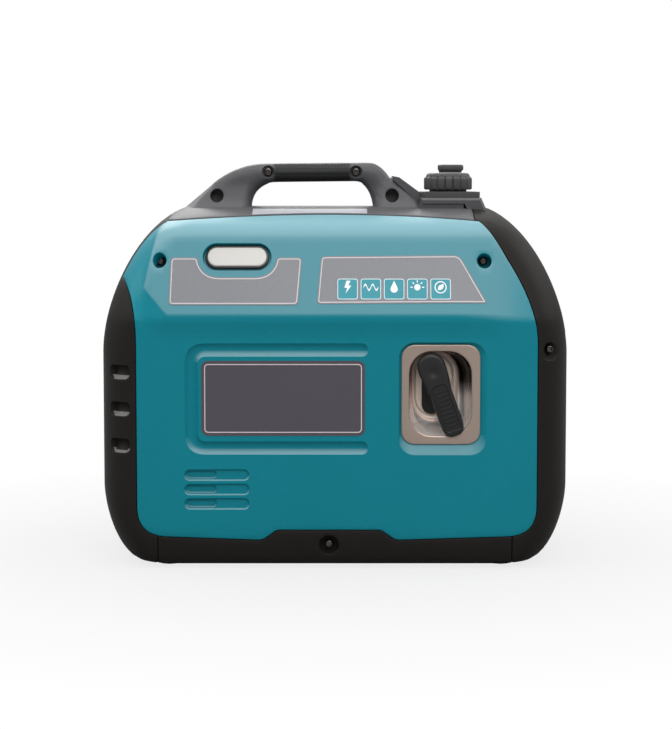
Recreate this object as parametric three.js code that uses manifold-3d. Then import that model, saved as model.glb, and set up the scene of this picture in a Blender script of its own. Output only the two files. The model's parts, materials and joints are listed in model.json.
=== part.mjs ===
// Portable inverter generator in a moulded carrying case.
// Millimetres, +Z up. The origin is on the ground under the middle of the case. The starter side
// faces -Y, the exhaust end faces -X and the control panel faces +X.
import * as THREE from 'three';
import { mergeVertices } from 'three/addons/utils/BufferGeometryUtils.js';
import Module from 'manifold-3d';

const wasm = await Module();
wasm.setup();

// ---- Driving dimensions: casing ----
const endHalfLength = 273;      // half-length of the case at the corners of its ends
const endBulge = 7;             // crown of the two end faces
const sideHalfDepth = 158;      // half-depth of the flat sides
const footHeight = 5;           // gap between the ground and the tray
const crownHeight = 419;        // top of the deck
const wall = 3;                 // wall of every moulded part
const seam = 0.6;               // joint between neighbouring casing parts
const touch = 0.3;              // clearance between pieces that rest on each other
const facetTolerance = 0.06;    // facets flatter than this are merged
const cornerLength = 40;        // upright corners, along the case
const cornerDepth = 60;         // upright corners, across the case
const floorTurnHeight = 90;     // turn from the end faces into the floor
const floorTurnInset = 42;
const floorRollHeight = 46;     // turn from the sides into the floor
const floorRollInset = 9;
const shoulderStart = crownHeight - 169;      // turn from the end faces into the deck
const shoulderInset = 110;
const slantStart = crownHeight - 157;         // the sides lean in above this height
const slantEnd = crownHeight - 34;
const slantInset = 31;

// ---- Side panels, set out from the ends and the deck ----
const panelLeft = -endHalfLength + 43.5;
const panelRight = endHalfLength - 39;
const panelBottom = footHeight + 32;
const panelTop = crownHeight - 17;
const panelArch = 6;            // rise of the top edge at mid-length
const panelCorner = 37;
const panelWrapHeight = slantStart + 74;      // above this the panel turns round the corner
const panelWrapDepth = sideHalfDepth - 73;    // and ends this far from the middle
const trayScrewX = -7;
const notchRise = 12;           // clearance over the tray's screw seat
const notchLeft = trayScrewX - 76;
const notchRight = trayScrewX + 69;
const notchSlope = 17;
const bandHeight = slantStart + 5;            // lower edge of the raised band
const bandRelief = 4.5;
const bandTipX = panelLeft + 8.5;             // pointed end of the band
const bandTipZ = slantStart + 65;
const bandFadeX = panelRight - 94;            // the band starts to die away here
const grooveWidth = 15.4;       // C-shaped groove round the plate
const grooveDepth = 3.5;
const grooveLeft = panelLeft + 56.1;
const grooveBottom = panelBottom + 97.2;
const grooveTop = slantStart + 1.3;
const blindSlotLeft = grooveLeft - 1.5;
const blindSlotLength = 76;
const blindSlotHeight = 13.5;
const blindSlotPitch = 16.8;
const blindSlotTop = grooveBottom - 17.2;
const blindSlotDepth = 2.6;
const blindSlotCount = 3;
const badgeX = panelLeft + 116.3;
const badgeZ = slantEnd - 24.5;
const badgeLength = 68;
const badgeHeight = 23;
const badgeDepth = 3;

// ---- Fasteners ----
const panelScrewLeftX = panelLeft + 26.2;
const panelScrewRightX = panelRight - 61.2;
const panelScrewZ = slantEnd - 28.5;
const panelScrewBore = 8.5;
const panelScrewFloor = sideHalfDepth - 39;   // distance of the seat from the middle
const trayScrewZ = footHeight + 23;
const trayScrewBore = 11.5;
const trayScrewFloor = sideHalfDepth - 13;
const screwHead = 5;            // head radius
const screwHeadHeight = 4;
const screwShank = 2.4;
const screwLength = 12;
const endScrewX = endHalfLength - 24;
const endScrewZ = slantStart - 6.5;
const endScrewFloor = sideHalfDepth - 17;

// ---- Filler ----
const capX = endHalfLength - 135.6;
const plinthTop = crownHeight + 2.8;
const plinthLeft = capX - 36;
const plinthRight = capX + 17.1;
const plinthHalfWidth = 50;
const platformHeight = plinthTop + 7.6;
const dripTrayHeight = platformHeight + 7;
const dripTrayLeft = capX - 33.4;
const dripTrayRight = capX + 36.6;
const capRadius = 29.25;
const capBase = dripTrayHeight + 2.4;
const capTop = capBase + 20.2;
const capRibs = 16;
const capRibDepth = 1.3;
const neckRadius = 22.8;
const neckTop = capTop - 9;
const ventKnobHeight = 9.8;
const ventArm = 18.8;

// ---- Handle ----
const handleHalfWidth = 24;
const handleSoft = 6;           // rounding of the handle's edges
const handleRise = 52.5;        // above the deck
const handleTop = crownHeight + handleRise;
const gripThickness = 22.5;
const handleLeft = -endHalfLength + 76;
const handleBendLeft = handleLeft + 47;
const handleFlatLeft = handleBendLeft + 68;
const handleBendRight = plinthLeft - 35.4;
const handleFlatRight = handleBendRight - 26;
const gapLeft = handleLeft + 94.5;            // finger opening
const gapRight = handleBendRight - 18.5;
const handleScrewLeftX = gapLeft + 21.7;
const handleScrewRightX = gapRight - 22.2;
const handleScrewBore = 7.25;
const handleScrewDepth = 8;
const drainHole = 8;
const drainLeftX = handleLeft + 54.6;
const drainRightX = handleBendRight + 2.8;
const drainZ = crownHeight + 13;
const drainDepth = 16;

// ---- Recoil starter, set out from its pulley ----
const sheet = 1.5;              // pressed metal
const crankHeight = 170;
const pulleyX = 116;
const pulleyRadius = 50;        // radius at which the rope winds
const ropeRadius = 2.2;
const ropeZ = crankHeight + pulleyRadius + ropeRadius;
const bezelLeft = pulleyX - 39.4;
const bezelRight = pulleyX + 52.3;
const bezelBottom = ropeZ - 76.7;
const bezelTop = ropeZ + 39.3;
const grooveRight = bezelLeft - 38;
const bezelCorner = 15;
const pocketDepth = 5;
const dishRim = 8.7;            // flat flange round the dish
const dishCorner = 27;
const dishDepth = 36;
const dishFloorX = pulleyX - 4;
const dishFloorZ = ropeZ - 9.2;
const dishFloorLength = 42;
const dishFloorHeight = 79;
const gripLength = 92;
const gripWidth = 23;
const gripTilt = 20;            // degrees from upright
const gripDepth = 16;

// ---- Control panel ----
const controlX = endHalfLength - 6.5;         // outer face of the panel
const socketPlate = 24.5;       // half-width of the square plate
const socketPitch = 2 * socketPlate + 9;
const controlHalfWidth = 1.5 * socketPitch + 5;
const controlBottom = footHeight + 91;
const controlTop = controlBottom + 174;
const controlCorner = 14;
const socketZ = controlBottom + 62;
const socketLeftY = -controlHalfWidth + 38;
const socketWell = 19.5;
const socketWellDepth = 18.5;
const socketBack = 30;          // length of the sockets behind the panel
const lidThickness = 3;
const sideColumnY = controlHalfWidth - 28;
const dcZ = socketZ + 22;
const ecoZ = dcZ + 32;
const resetZ = dcZ - 34;
const terminalZ = resetZ - 26;
const dcWell = 10.5;
const knobY = sideColumnY - 18;
const knobZ = controlTop - 34;
const knobRadius = 21;

// ---- Engine and generator ----
const crankcaseLeft = -70;
const crankcaseRight = 20;
const crankcaseRadius = 62;
const engineBase = footHeight + 37;           // underside of the engine's mounting flange
const shroudRadius = 88;
const rotorRadius = 72;
const cylinderTilt = 40;
const cylinderLength = 74;
const cylinderHalfWidth = 34;
const mufflerLeft = -endHalfLength + 23;
const mufflerRight = mufflerLeft + 64;
const frameHalfWidth = sideHalfDepth - 43;
const frameLeft = mufflerRight + 11;
const frameRight = controlX - 90.5;
const frameHeight = crankHeight + 126;
const tankLeft = frameLeft + 15;
const tankRight = frameRight - 6;
const tankHalfDepth = frameHalfWidth - 10;
const tankTop = crownHeight - 28;
const outletY = 40;
const outletZ = crankHeight + 20;
const outletRadius = 17;

const floorZ = footHeight;
const floorTop = floorZ + wall;

// ---- Solids ----
function solidOf(geometry) {
  const bare = geometry.clone();
  bare.deleteAttribute('normal');
  bare.deleteAttribute('uv');
  const merged = mergeVertices(bare, 1e-4);
  const vertProperties = new Float32Array(merged.attributes.position.array);
  const triVerts = new Uint32Array(merged.index.array);
  return new wasm.Manifold(new wasm.Mesh({ numProp: 3, vertProperties, triVerts }));
}

function geometryOf(solid) {
  const mesh = solid.simplify(facetTolerance).getMesh();
  const geometry = new THREE.BufferGeometry();
  geometry.setAttribute('position', new THREE.BufferAttribute(new Float32Array(mesh.vertProperties), 3));
  geometry.setIndex(new THREE.BufferAttribute(new Uint32Array(mesh.triVerts), 1));
  return geometry;
}

function join(...solids) {
  return solids.reduce((sum, solid) => sum.add(solid));
}

function cut(solid, ...tools) {
  return tools.reduce((rest, tool) => rest.subtract(tool), solid);
}

// Extrusions. A shape drawn in (x, z) runs along Y, in (y, z) along X and in (x, y) along Z.
function extruded(shape, length, soft, curveSegments, bevelSegments = 1) {
  return new THREE.ExtrudeGeometry(shape, {
    depth: length - 2 * soft,
    curveSegments,
    bevelEnabled: soft > 0,
    bevelThickness: soft,
    bevelSize: soft,
    bevelOffset: -soft,
    bevelSegments,
  }).translate(0, 0, soft);
}

function alongY(shape, from, to, soft = 0, curveSegments = 2, bevelSegments = 1) {
  const geometry = extruded(shape, to - from, soft, curveSegments, bevelSegments);
  geometry.rotateX(Math.PI / 2);
  geometry.translate(0, to, 0);
  return solidOf(geometry);
}

function alongX(shape, from, to, soft = 0, curveSegments = 2) {
  const geometry = extruded(shape, to - from, soft, curveSegments);
  const turn = new THREE.Matrix4().makeBasis(
    new THREE.Vector3(0, 1, 0), new THREE.Vector3(0, 0, 1), new THREE.Vector3(1, 0, 0));
  geometry.applyMatrix4(turn);
  geometry.translate(from, 0, 0);
  return solidOf(geometry);
}

function alongZ(shape, from, to, soft = 0, curveSegments = 2) {
  return solidOf(extruded(shape, to - from, soft, curveSegments).translate(0, 0, from));
}

// A turned piece: profile points are (radius, height) and both ends lie on the axis, or it closes.
function turned(profile, segments = 20) {
  const points = profile.map(([radius, height]) => new THREE.Vector2(radius, height));
  return new THREE.LatheGeometry(points, segments).rotateX(Math.PI / 2);
}

function turnedZ(profile, x, y, segments) {
  return solidOf(turned(profile, segments).translate(x, y, 0));
}

function turnedX(profile, y, z, segments) {
  return solidOf(turned(profile, segments).rotateY(Math.PI / 2).translate(0, y, z));
}

function turnedY(profile, x, z, segments) {
  return solidOf(turned(profile, segments).rotateX(-Math.PI / 2).translate(x, 0, z));
}

function rod(radius, from, to) {
  return [[0, from], [radius, from], [radius, to], [0, to]];
}

function tube(inner, outer, from, to) {
  return [[inner, from], [outer, from], [outer, to], [inner, to], [inner, from]];
}

function box(x0, x1, y0, y1, z0, z1) {
  const geometry = new THREE.BoxGeometry(x1 - x0, y1 - y0, z1 - z0);
  return solidOf(geometry.translate((x0 + x1) / 2, (y0 + y1) / 2, (z0 + z1) / 2));
}

// ---- Outlines ----
function polygon(points) {
  return new THREE.Shape(points.map(([a, b]) => new THREE.Vector2(a, b)));
}

// Corners are rounded by their third value.
function softPolygon(corners) {
  const shape = new THREE.Shape();
  corners.forEach(([a, b, radius = 0], index) => {
    const corner = new THREE.Vector2(a, b);
    const last = new THREE.Vector2(...corners[(index + corners.length - 1) % corners.length]);
    const next = new THREE.Vector2(...corners[(index + 1) % corners.length]);
    const start = last.sub(corner).setLength(radius).add(corner);
    const end = next.sub(corner).setLength(radius).add(corner);
    if (index === 0) shape.moveTo(start.x, start.y);
    else shape.lineTo(start.x, start.y);
    if (radius > 0) shape.quadraticCurveTo(corner.x, corner.y, end.x, end.y);
  });
  shape.closePath();
  return shape;
}

function roundedRectangle(a0, a1, b0, b1, radius) {
  const r = Math.min(radius, (a1 - a0) / 2 - 0.4, (b1 - b0) / 2 - 0.4);
  const shape = new THREE.Shape();
  shape.moveTo(a0 + r, b0);
  shape.lineTo(a1 - r, b0);
  shape.absarc(a1 - r, b0 + r, r, -Math.PI / 2, 0);
  shape.lineTo(a1, b1 - r);
  shape.absarc(a1 - r, b1 - r, r, 0, Math.PI / 2);
  shape.lineTo(a0 + r, b1);
  shape.absarc(a0 + r, b1 - r, r, Math.PI / 2, Math.PI);
  shape.lineTo(a0, b0 + r);
  shape.absarc(a0 + r, b0 + r, r, Math.PI, 1.5 * Math.PI);
  return shape;
}

// The corners of a closed outline, each one once.
function cornersOf(shape, curveSegments) {
  const points = shape.getPoints(curveSegments);
  return points.filter((p, i) => p.distanceTo(points[(i + 1) % points.length]) > 1e-3);
}

// Moves a closed outline outwards (inwards if the distance is negative).
function offsetOutline(shape, distance, curveSegments = 6) {
  const points = cornersOf(shape, curveSegments);
  if (THREE.ShapeUtils.isClockWise(points)) points.reverse();
  const moved = points.map((point, index) => {
    const before = points[(index + points.length - 1) % points.length];
    const after = points[(index + 1) % points.length];
    const inward = new THREE.Vector2().subVectors(point, before).normalize();
    const outward = new THREE.Vector2().subVectors(after, point).normalize();
    const normal = new THREE.Vector2(inward.y + outward.y, -inward.x - outward.x).normalize();
    const reach = distance / Math.max(0.4, normal.x * outward.y - normal.y * outward.x);
    return new THREE.Vector2().copy(point).addScaledVector(normal, reach);
  });
  return new THREE.Shape(moved);
}

// ---- Casing form: one loft that all casing parts are cut from ----
function between(value, from, to) {
  return Math.min(1, Math.max(0, (value - from) / (to - from)));
}

function turnIn(t, power) {
  return 1 - (1 - t ** power) ** (1 / power);
}

function lengthAt(z) {
  const low = 1 - between(z, floorZ, floorZ + floorTurnHeight);
  const high = between(z, shoulderStart, crownHeight + 1);
  return endHalfLength - floorTurnInset * turnIn(low, 1.7) - shoulderInset * turnIn(high, 1.7);
}

function depthAt(z) {
  const low = 1 - between(z, floorZ, floorZ + floorRollHeight);
  const lean = Math.max(0, (z - slantStart) / (slantEnd - slantStart));
  const crown = between(z, slantEnd, crownHeight + 0.5);
  const side = sideHalfDepth - floorRollInset * turnIn(low, 2) - slantInset * lean;
  return side * (1 - turnIn(crown, 2.1));
}

// Height of the raised band over the plain side: full up to slantEnd, gone at the panel's top.
function reliefAt(z) {
  return bandRelief * (1 - between(z, slantEnd, panelTop));
}

const levels = [
  ...[0, 0.08, 0.24, 0.5, 1].map((t) => floorZ + t * floorTurnHeight),
  shoulderStart,
  slantStart,
  ...[0.27, 0.52, 0.76, 1].map((t) => slantStart + t * (slantEnd - slantStart)),
  ...[0.35, 0.6, 0.82, 1].map((t) => slantEnd + t * (crownHeight - slantEnd)),
];

function casingRing(z, grow, relief) {
  const length = lengthAt(z) + grow;
  const depth = depthAt(z) + grow;
  const cornerY = cornerDepth * depth / sideHalfDepth;
  const endY = depth - cornerY;
  const extra = relief ? reliefAt(z) : 0;
  const middle = (floorZ + crownHeight) / 2;
  const height = middle + (z - middle) * (1 + grow / (crownHeight - middle));
  const steps = 3;
  const corner = (sideX, sideY) => Array.from({ length: steps + 1 }, (_, k) => {
    const angle = k / steps * Math.PI / 2;
    const lift = sideX < 0 ? extra : 0;
    const x = sideX * (length - cornerLength + cornerLength * Math.cos(angle));
    return [x, sideY * (endY + (cornerY + lift) * Math.sin(angle)), height];
  });
  const end = (side, y) => [side * (length + endBulge * (1 - (y / endY) ** 2)), y, height];
  return [
    end(1, -endY / 2), end(1, 0), end(1, endY / 2),
    ...corner(1, 1), [bandFadeX, depth + extra, height], ...corner(-1, 1).reverse(),
    end(-1, endY / 2), end(-1, 0), end(-1, -endY / 2),
    ...corner(-1, -1), [bandFadeX, -depth - extra, height], ...corner(1, -1).reverse(),
  ];
}

function loft(rings) {
  const count = rings[0].length;
  const positions = rings.flat(2);
  const index = [];
  for (let level = 0; level < rings.length - 1; level += 1) {
    for (let k = 0; k < count; k += 1) {
      const a = level * count + k;
      const b = level * count + (k + 1) % count;
      index.push(a, b, b + count, a, b + count, a + count);
    }
  }
  const top = (rings.length - 1) * count;
  for (let k = 1; k < count - 1; k += 1) {
    index.push(0, k + 1, k);
    index.push(top, top + k, top + k + 1);
  }
  const geometry = new THREE.BufferGeometry();
  geometry.setAttribute('position', new THREE.BufferAttribute(new Float32Array(positions), 3));
  geometry.setIndex(index);
  return solidOf(geometry);
}

function casing(grow = 0, relief = false) {
  return loft(levels.map((z) => casingRing(z, grow, relief)));
}

const outerForm = casing();
const innerForm = casing(-wall);
const shell = outerForm.subtract(innerForm);
const far = 2 * endHalfLength;

// ---- Side panels ----
function panelOutline() {
  const shape = new THREE.Shape();
  const base = panelBottom;
  shape.moveTo(panelLeft, base + panelCorner);
  shape.lineTo(panelLeft, slantStart);
  shape.quadraticCurveTo(panelLeft, panelWrapHeight - 24, panelLeft - 17, panelWrapHeight);
  shape.lineTo(-far, panelWrapHeight + far / 3);
  shape.lineTo(-far, panelTop + far / 3);
  shape.lineTo(handleLeft - seam, panelTop + far / 3);
  shape.lineTo(handleLeft - seam, panelTop);
  shape.quadraticCurveTo(0, panelTop + 2 * panelArch, panelScrewRightX - 4, panelTop);
  shape.lineTo(panelScrewRightX + 27, panelScrewZ + 2);
  shape.quadraticCurveTo(panelRight, slantStart + 43, panelRight, slantStart);
  shape.lineTo(panelRight, base + panelCorner);
  shape.quadraticCurveTo(panelRight, base + 2, panelRight - panelCorner, base + 2);
  shape.lineTo(notchRight + notchSlope / 2, base - 2);
  shape.lineTo(notchRight - notchSlope / 2, base - 2 + notchRise);
  shape.lineTo(notchLeft + notchSlope / 2, base - 2 + notchRise);
  shape.lineTo(notchLeft - notchSlope / 2, base - 2);
  shape.lineTo(panelLeft + panelCorner, base + 2);
  shape.quadraticCurveTo(panelLeft, base + 2, panelLeft, base + panelCorner);
  return shape;
}

function bandOutline() {
  return polygon([
    [bandTipX + 25, bandHeight], [panelRight + 20, bandHeight], [panelRight + 20, panelTop + 20],
    [bandTipX + 31, panelTop + 20], [bandTipX + 31, slantEnd - 2], [bandTipX + 20, bandTipZ + 44],
    [bandTipX, bandTipZ],
  ]);
}

// A wide groove with round ends that opens towards +X.
function grooveOutline(grow) {
  const half = grooveWidth / 2 + grow;
  const left = grooveLeft - grow;
  const right = grooveRight - grooveWidth / 2;
  const top = grooveTop - grooveWidth / 2;
  const bottom = grooveBottom + grooveWidth / 2;
  const inner = grooveLeft + grooveWidth + grow;
  const shape = new THREE.Shape();
  shape.moveTo(left + 22, bottom - half);
  shape.lineTo(right, bottom - half);
  shape.absarc(right, bottom, half, -Math.PI / 2, Math.PI / 2);
  shape.lineTo(inner + 6, bottom + half);
  shape.quadraticCurveTo(inner, bottom + half, inner, bottom + half + 6);
  shape.lineTo(inner, top - half - 6);
  shape.quadraticCurveTo(inner, top - half, inner + 6, top - half);
  shape.lineTo(right, top - half);
  shape.absarc(right, top, half, -Math.PI / 2, Math.PI / 2);
  shape.lineTo(left + 22, top + half);
  shape.quadraticCurveTo(left, top + half, left, top + half - 22);
  shape.lineTo(left, bottom - half + 22);
  shape.quadraticCurveTo(left, bottom - half, left + 22, bottom - half);
  return shape;
}

function blindSlot(row, shrink, length) {
  const top = blindSlotTop - row * blindSlotPitch;
  return roundedRectangle(blindSlotLeft + shrink, blindSlotLeft + length - shrink,
    top - blindSlotHeight + shrink, top - shrink, blindSlotHeight / 2);
}

function screwSeat(x, z, bore, floorY) {
  const face = depthAt(z);
  return {
    boss: turnedY(rod(bore + wall * 0.7, floorY - wall - 1, face - 0.5), x, z, 12),
    bore: turnedY(rod(bore, floorY, face + 20), x, z, 12),
    hole: turnedY(rod(screwShank + 0.4, floorY - 20, floorY + 1), x, z, 8),
  };
}

// A side panel, made on the +Y side; the starter side is its mirror image.
function sidePanel(starterSide) {
  const outline = panelOutline();
  const reach = alongY(outline, panelWrapDepth, far, 0, 5);
  let panel = shell.intersect(reach);
  const band = casing(0, true).subtract(innerForm).intersect(reach);
  panel = join(panel, band.intersect(alongY(bandOutline(), panelWrapDepth, far)));
  const back = sideHalfDepth - wall;
  const groove = alongY(grooveOutline(0), sideHalfDepth - grooveDepth, far);
  const grooveBack = alongY(grooveOutline(wall), back - grooveDepth, back + 1);
  const slotsBack = alongY(roundedRectangle(blindSlotLeft - wall, blindSlotLeft + blindSlotLength + wall,
    blindSlotTop - (blindSlotCount - 1) * blindSlotPitch - blindSlotHeight - wall, blindSlotTop + wall,
    6), back - 2 * blindSlotDepth, back + 1, 0, 1);
  panel = join(panel, grooveBack, slotsBack);
  panel = cut(panel, groove);
  for (let row = 0; row < blindSlotCount; row += 1) {
    panel = cut(panel,
      alongY(blindSlot(row, 0, blindSlotLength), sideHalfDepth - blindSlotDepth, far, 0, 1),
      alongY(blindSlot(row, 2, blindSlotLength / 2), sideHalfDepth - 2 * blindSlotDepth, far, 0, 1));
  }
  for (const x of [panelScrewLeftX, panelScrewRightX]) {
    const seat = screwSeat(x, panelScrewZ, panelScrewBore, panelScrewFloor);
    panel = cut(join(panel, seat.boss), seat.bore, seat.hole);
  }
  if (starterSide) {
    panel = cut(join(panel, badgeBacking()), badgeRecess());
    panel = starterPocket(panel);
  }
  return starterSide ? panel.mirror([0, 1, 0]) : panel;
}

const badgeBase = depthAt(badgeZ) + bandRelief - badgeDepth - 1;

function badgeOutline(grow) {
  return roundedRectangle(badgeX - badgeLength / 2 - grow, badgeX + badgeLength / 2 + grow,
    badgeZ - badgeHeight / 2 - grow, badgeZ + badgeHeight / 2 + grow, badgeHeight);
}

function badgeRecess() {
  return alongY(badgeOutline(2.5), badgeBase, far);
}

function badgeBacking() {
  return alongY(badgeOutline(2.5 + wall), badgeBase - wall, badgeBase + 1.5);
}

// The starter's pocket: a shallow seat with sloped walls, open behind for the dish.
function starterPocket(panel) {
  const back = sideHalfDepth - pocketDepth;
  const outer = cornersOf(roundedRectangle(bezelLeft - 3, bezelRight + 7, bezelBottom - 12,
    bezelTop + 3, bezelCorner + 4), 3);
  const inner = cornersOf(roundedRectangle(bezelLeft - touch, bezelRight + touch,
    bezelBottom - touch, bezelTop + touch, bezelCorner), 3);
  const ring = (points, y) => points.map((p) => [p.x, y, p.y]).reverse();
  const pocket = loft([ring(inner, back), ring(outer, sideHalfDepth), ring(outer, far)]);
  const backing = alongY(roundedRectangle(bezelLeft - 7, bezelRight + 11, bezelBottom - 16,
    bezelTop + 7, bezelCorner + 6), back - wall, sideHalfDepth - wall + 0.5);
  const opening = alongY(dishOutline(sheet + 2 * touch), back - wall - 1, far);
  return cut(join(panel, backing), pocket, opening);
}

// ---- Recoil starter dish ----
function dishOutline(grow) {
  return roundedRectangle(bezelLeft + dishRim - grow, bezelRight - dishRim + grow,
    bezelBottom + dishRim - grow, bezelTop - dishRim + 1.5 + grow, dishCorner + grow);
}

function dishFloorOutline(grow) {
  return roundedRectangle(dishFloorX - dishFloorLength / 2 - grow, dishFloorX + dishFloorLength / 2 + grow,
    dishFloorZ - dishFloorHeight / 2 - grow, dishFloorZ + dishFloorHeight / 2 + grow,
    dishFloorLength / 2 + grow);
}

const flangeFace = sideHalfDepth - pocketDepth + touch + sheet;
const dishFloorY = flangeFace - dishDepth;

function dishBowl(grow, drop) {
  const rim = cornersOf(dishOutline(grow), 2);
  const floor = cornersOf(dishFloorOutline(grow), 2);
  const base = dishFloorY - drop;
  const rings = [0, 0.33, 0.66, 1].map((t) => {
    const blend = 1 - Math.sqrt(1 - t * t);
    const rise = flangeFace - base + (t === 1 ? 1 : 0);
    const y = base + rise * (1 - Math.cos(t * 1.57));
    return rim.map((p, k) => [
      THREE.MathUtils.lerp(floor[k].x, p.x, Math.sin(t * 1.57) * 0.9 + blend * 0.1), y,
      THREE.MathUtils.lerp(floor[k].y, p.y, Math.sin(t * 1.57) * 0.9 + blend * 0.1)]).reverse();
  });
  return loft(rings);
}

function starterBezel() {
  const flange = alongY(roundedRectangle(bezelLeft, bezelRight, bezelBottom, bezelTop, bezelCorner),
    flangeFace - sheet, flangeFace);
  const guideHole = turnedY(rod(8.2, dishFloorY - 5, dishFloorY + 5), pulleyX, ropeZ, 10);
  const skin = dishBowl(sheet, sheet).intersect(box(-far, far, -far, flangeFace, 0, far));
  return cut(join(flange, skin), dishBowl(0, 0), guideHole).mirror([0, 1, 0]);
}

function starterGuide() {
  const face = dishFloorY + touch;
  const oval = roundedRectangle(pulleyX - 14.5, pulleyX + 9, ropeZ - 45, ropeZ + 27, 13);
  const plate = alongY(oval, face, face + 3);
  const stem = turnedY(tube(ropeRadius + 0.8, 7.8, face - 10, face + 1), pulleyX, ropeZ, 10);
  const bore = turnedY(rod(ropeRadius + 0.8, face - 2, face + 5), pulleyX, ropeZ, 10);
  return cut(join(plate, stem), bore).mirror([0, 1, 0]);
}

const gripFace = sideHalfDepth + 2.5;

function starterGrip() {
  const tilt = gripTilt * Math.PI / 180;
  const half = gripWidth / 2;
  const bar = new THREE.Shape();
  bar.absarc(0, 0, half + 1, 0, Math.PI);
  bar.quadraticCurveTo(-half - 1, -18, -half + 1.5, -28);
  bar.lineTo(-half + 1.5, -gripLength + 2 * half + 4);
  bar.quadraticCurveTo(-half + 1.5, -gripLength + half, -half + 7, -gripLength + half);
  bar.lineTo(half - 7, -gripLength + half);
  bar.quadraticCurveTo(half - 1.5, -gripLength + half, half - 1.5, -gripLength + 2 * half + 4);
  bar.lineTo(half - 1.5, -28);
  bar.quadraticCurveTo(half + 1, -18, half + 1, 0);
  const geometry = extruded(bar, gripDepth, 4, 3, 2);
  geometry.rotateZ(tilt).rotateX(Math.PI / 2);
  geometry.translate(pulleyX - 4.5, gripFace, ropeZ + 13);
  const stem = turnedY(rod(7, dishFloorY + 5, gripFace - 6), pulleyX, ropeZ, 10);
  const bore = turnedY(rod(ropeRadius + 0.4, dishFloorY, gripFace - 9), pulleyX, ropeZ, 8);
  return cut(join(solidOf(geometry), stem), bore).mirror([0, 1, 0]);
}

// ---- Tray ----
const traySplit = endHalfLength - 67.5;       // seam with the end covers

function trayOutline() {
  const outline = panelOutline();
  const block = box(-traySplit, traySplit, -far, far, -far, panelBottom + 25);
  return cut(block, alongY(offsetOutline(outline, seam, 5), -far, far));
}

const footX = endHalfLength - 78;
const footY = sideHalfDepth - 46;
const footRadius = 15;
const footStem = 4;
const footStemClearance = 0.6;

function bottomTray() {
  let tray = shell.intersect(trayOutline());
  for (const side of [-1, 1]) {
    const seat = screwSeat(trayScrewX, trayScrewZ, trayScrewBore, trayScrewFloor);
    const turn = (solid) => (side < 0 ? solid.mirror([0, 1, 0]) : solid);
    const boss = turn(seat.boss).intersect(outerForm);
    tray = cut(join(tray, boss), turn(seat.bore), turn(seat.hole));
    // long stiffening ribs that the engine's rubber rails stand between
    tray = join(tray, box(-170, 170, side * 84 - 1.5, side * 84 + 1.5, floorTop - 1, floorTop + 14));
    for (const x of [-footX, footX]) {
      tray = cut(tray, turnedZ(rod(footStem + footStemClearance, 0, floorTop + 5), x, side * footY, 8));
    }
  }
  return tray;
}

function foot(x, y) {
  const under = floorZ - touch;
  const neckTopZ = floorTop + touch;
  return turnedZ([[0, 0], [footRadius - 2, 0], [footRadius, under], [footStem, under],
    [footStem, neckTopZ], [footStem + 1.6, neckTopZ], [footStem - 1, neckTopZ + 6], [0, neckTopZ + 6]],
  x, y, 8);
}

// ---- Deck and handle ----
const deckRight = plinthRight + 9;

// Everything of the shell between the side panels and the end covers' upper edges.
function deckShell() {
  const block = box(handleLeft, deckRight, -far, far, slantEnd, far);
  const panelCut = alongY(offsetOutline(panelOutline(), seam, 5), panelWrapDepth - seam, far);
  return cut(shell.intersect(block), panelCut, panelCut.mirror([0, 1, 0]));
}

function handleOutline() {
  const base = panelTop + 3;
  const shape = new THREE.Shape();
  shape.moveTo(handleLeft, base);
  shape.lineTo(handleBendLeft, handleTop - 27);
  shape.quadraticCurveTo(handleBendLeft + 30, handleTop - 1, handleFlatLeft, handleTop - 1);
  shape.lineTo(handleFlatRight, handleTop);
  shape.quadraticCurveTo(handleFlatRight + 14, handleTop, handleBendRight, handleTop - 18);
  shape.lineTo(plinthLeft, plinthTop);
  shape.lineTo(plinthLeft + 12, base);
  return shape;
}

function gapOutline(grow) {
  const shape = new THREE.Shape();
  const base = panelTop - grow;
  const under = handleTop - gripThickness + grow;
  shape.moveTo(gapLeft - grow, base);
  shape.lineTo(gapLeft - grow, crownHeight + 4);
  shape.quadraticCurveTo(gapLeft + 3 - grow, under - 1, gapLeft + 33, under - 1);
  shape.lineTo(gapRight - 24, under);
  shape.quadraticCurveTo(gapRight - 4 + grow, under, gapRight + grow, crownHeight);
  shape.lineTo(gapRight + grow, base);
  return shape;
}

function plinthOutline(grow) {
  return polygon([[plinthLeft - 12, panelTop + 3], [plinthLeft - 12, plinthTop + grow],
    [plinthRight + grow, plinthTop + grow], [plinthRight + 8.5 + grow, panelTop + 3]]);
}

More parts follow.
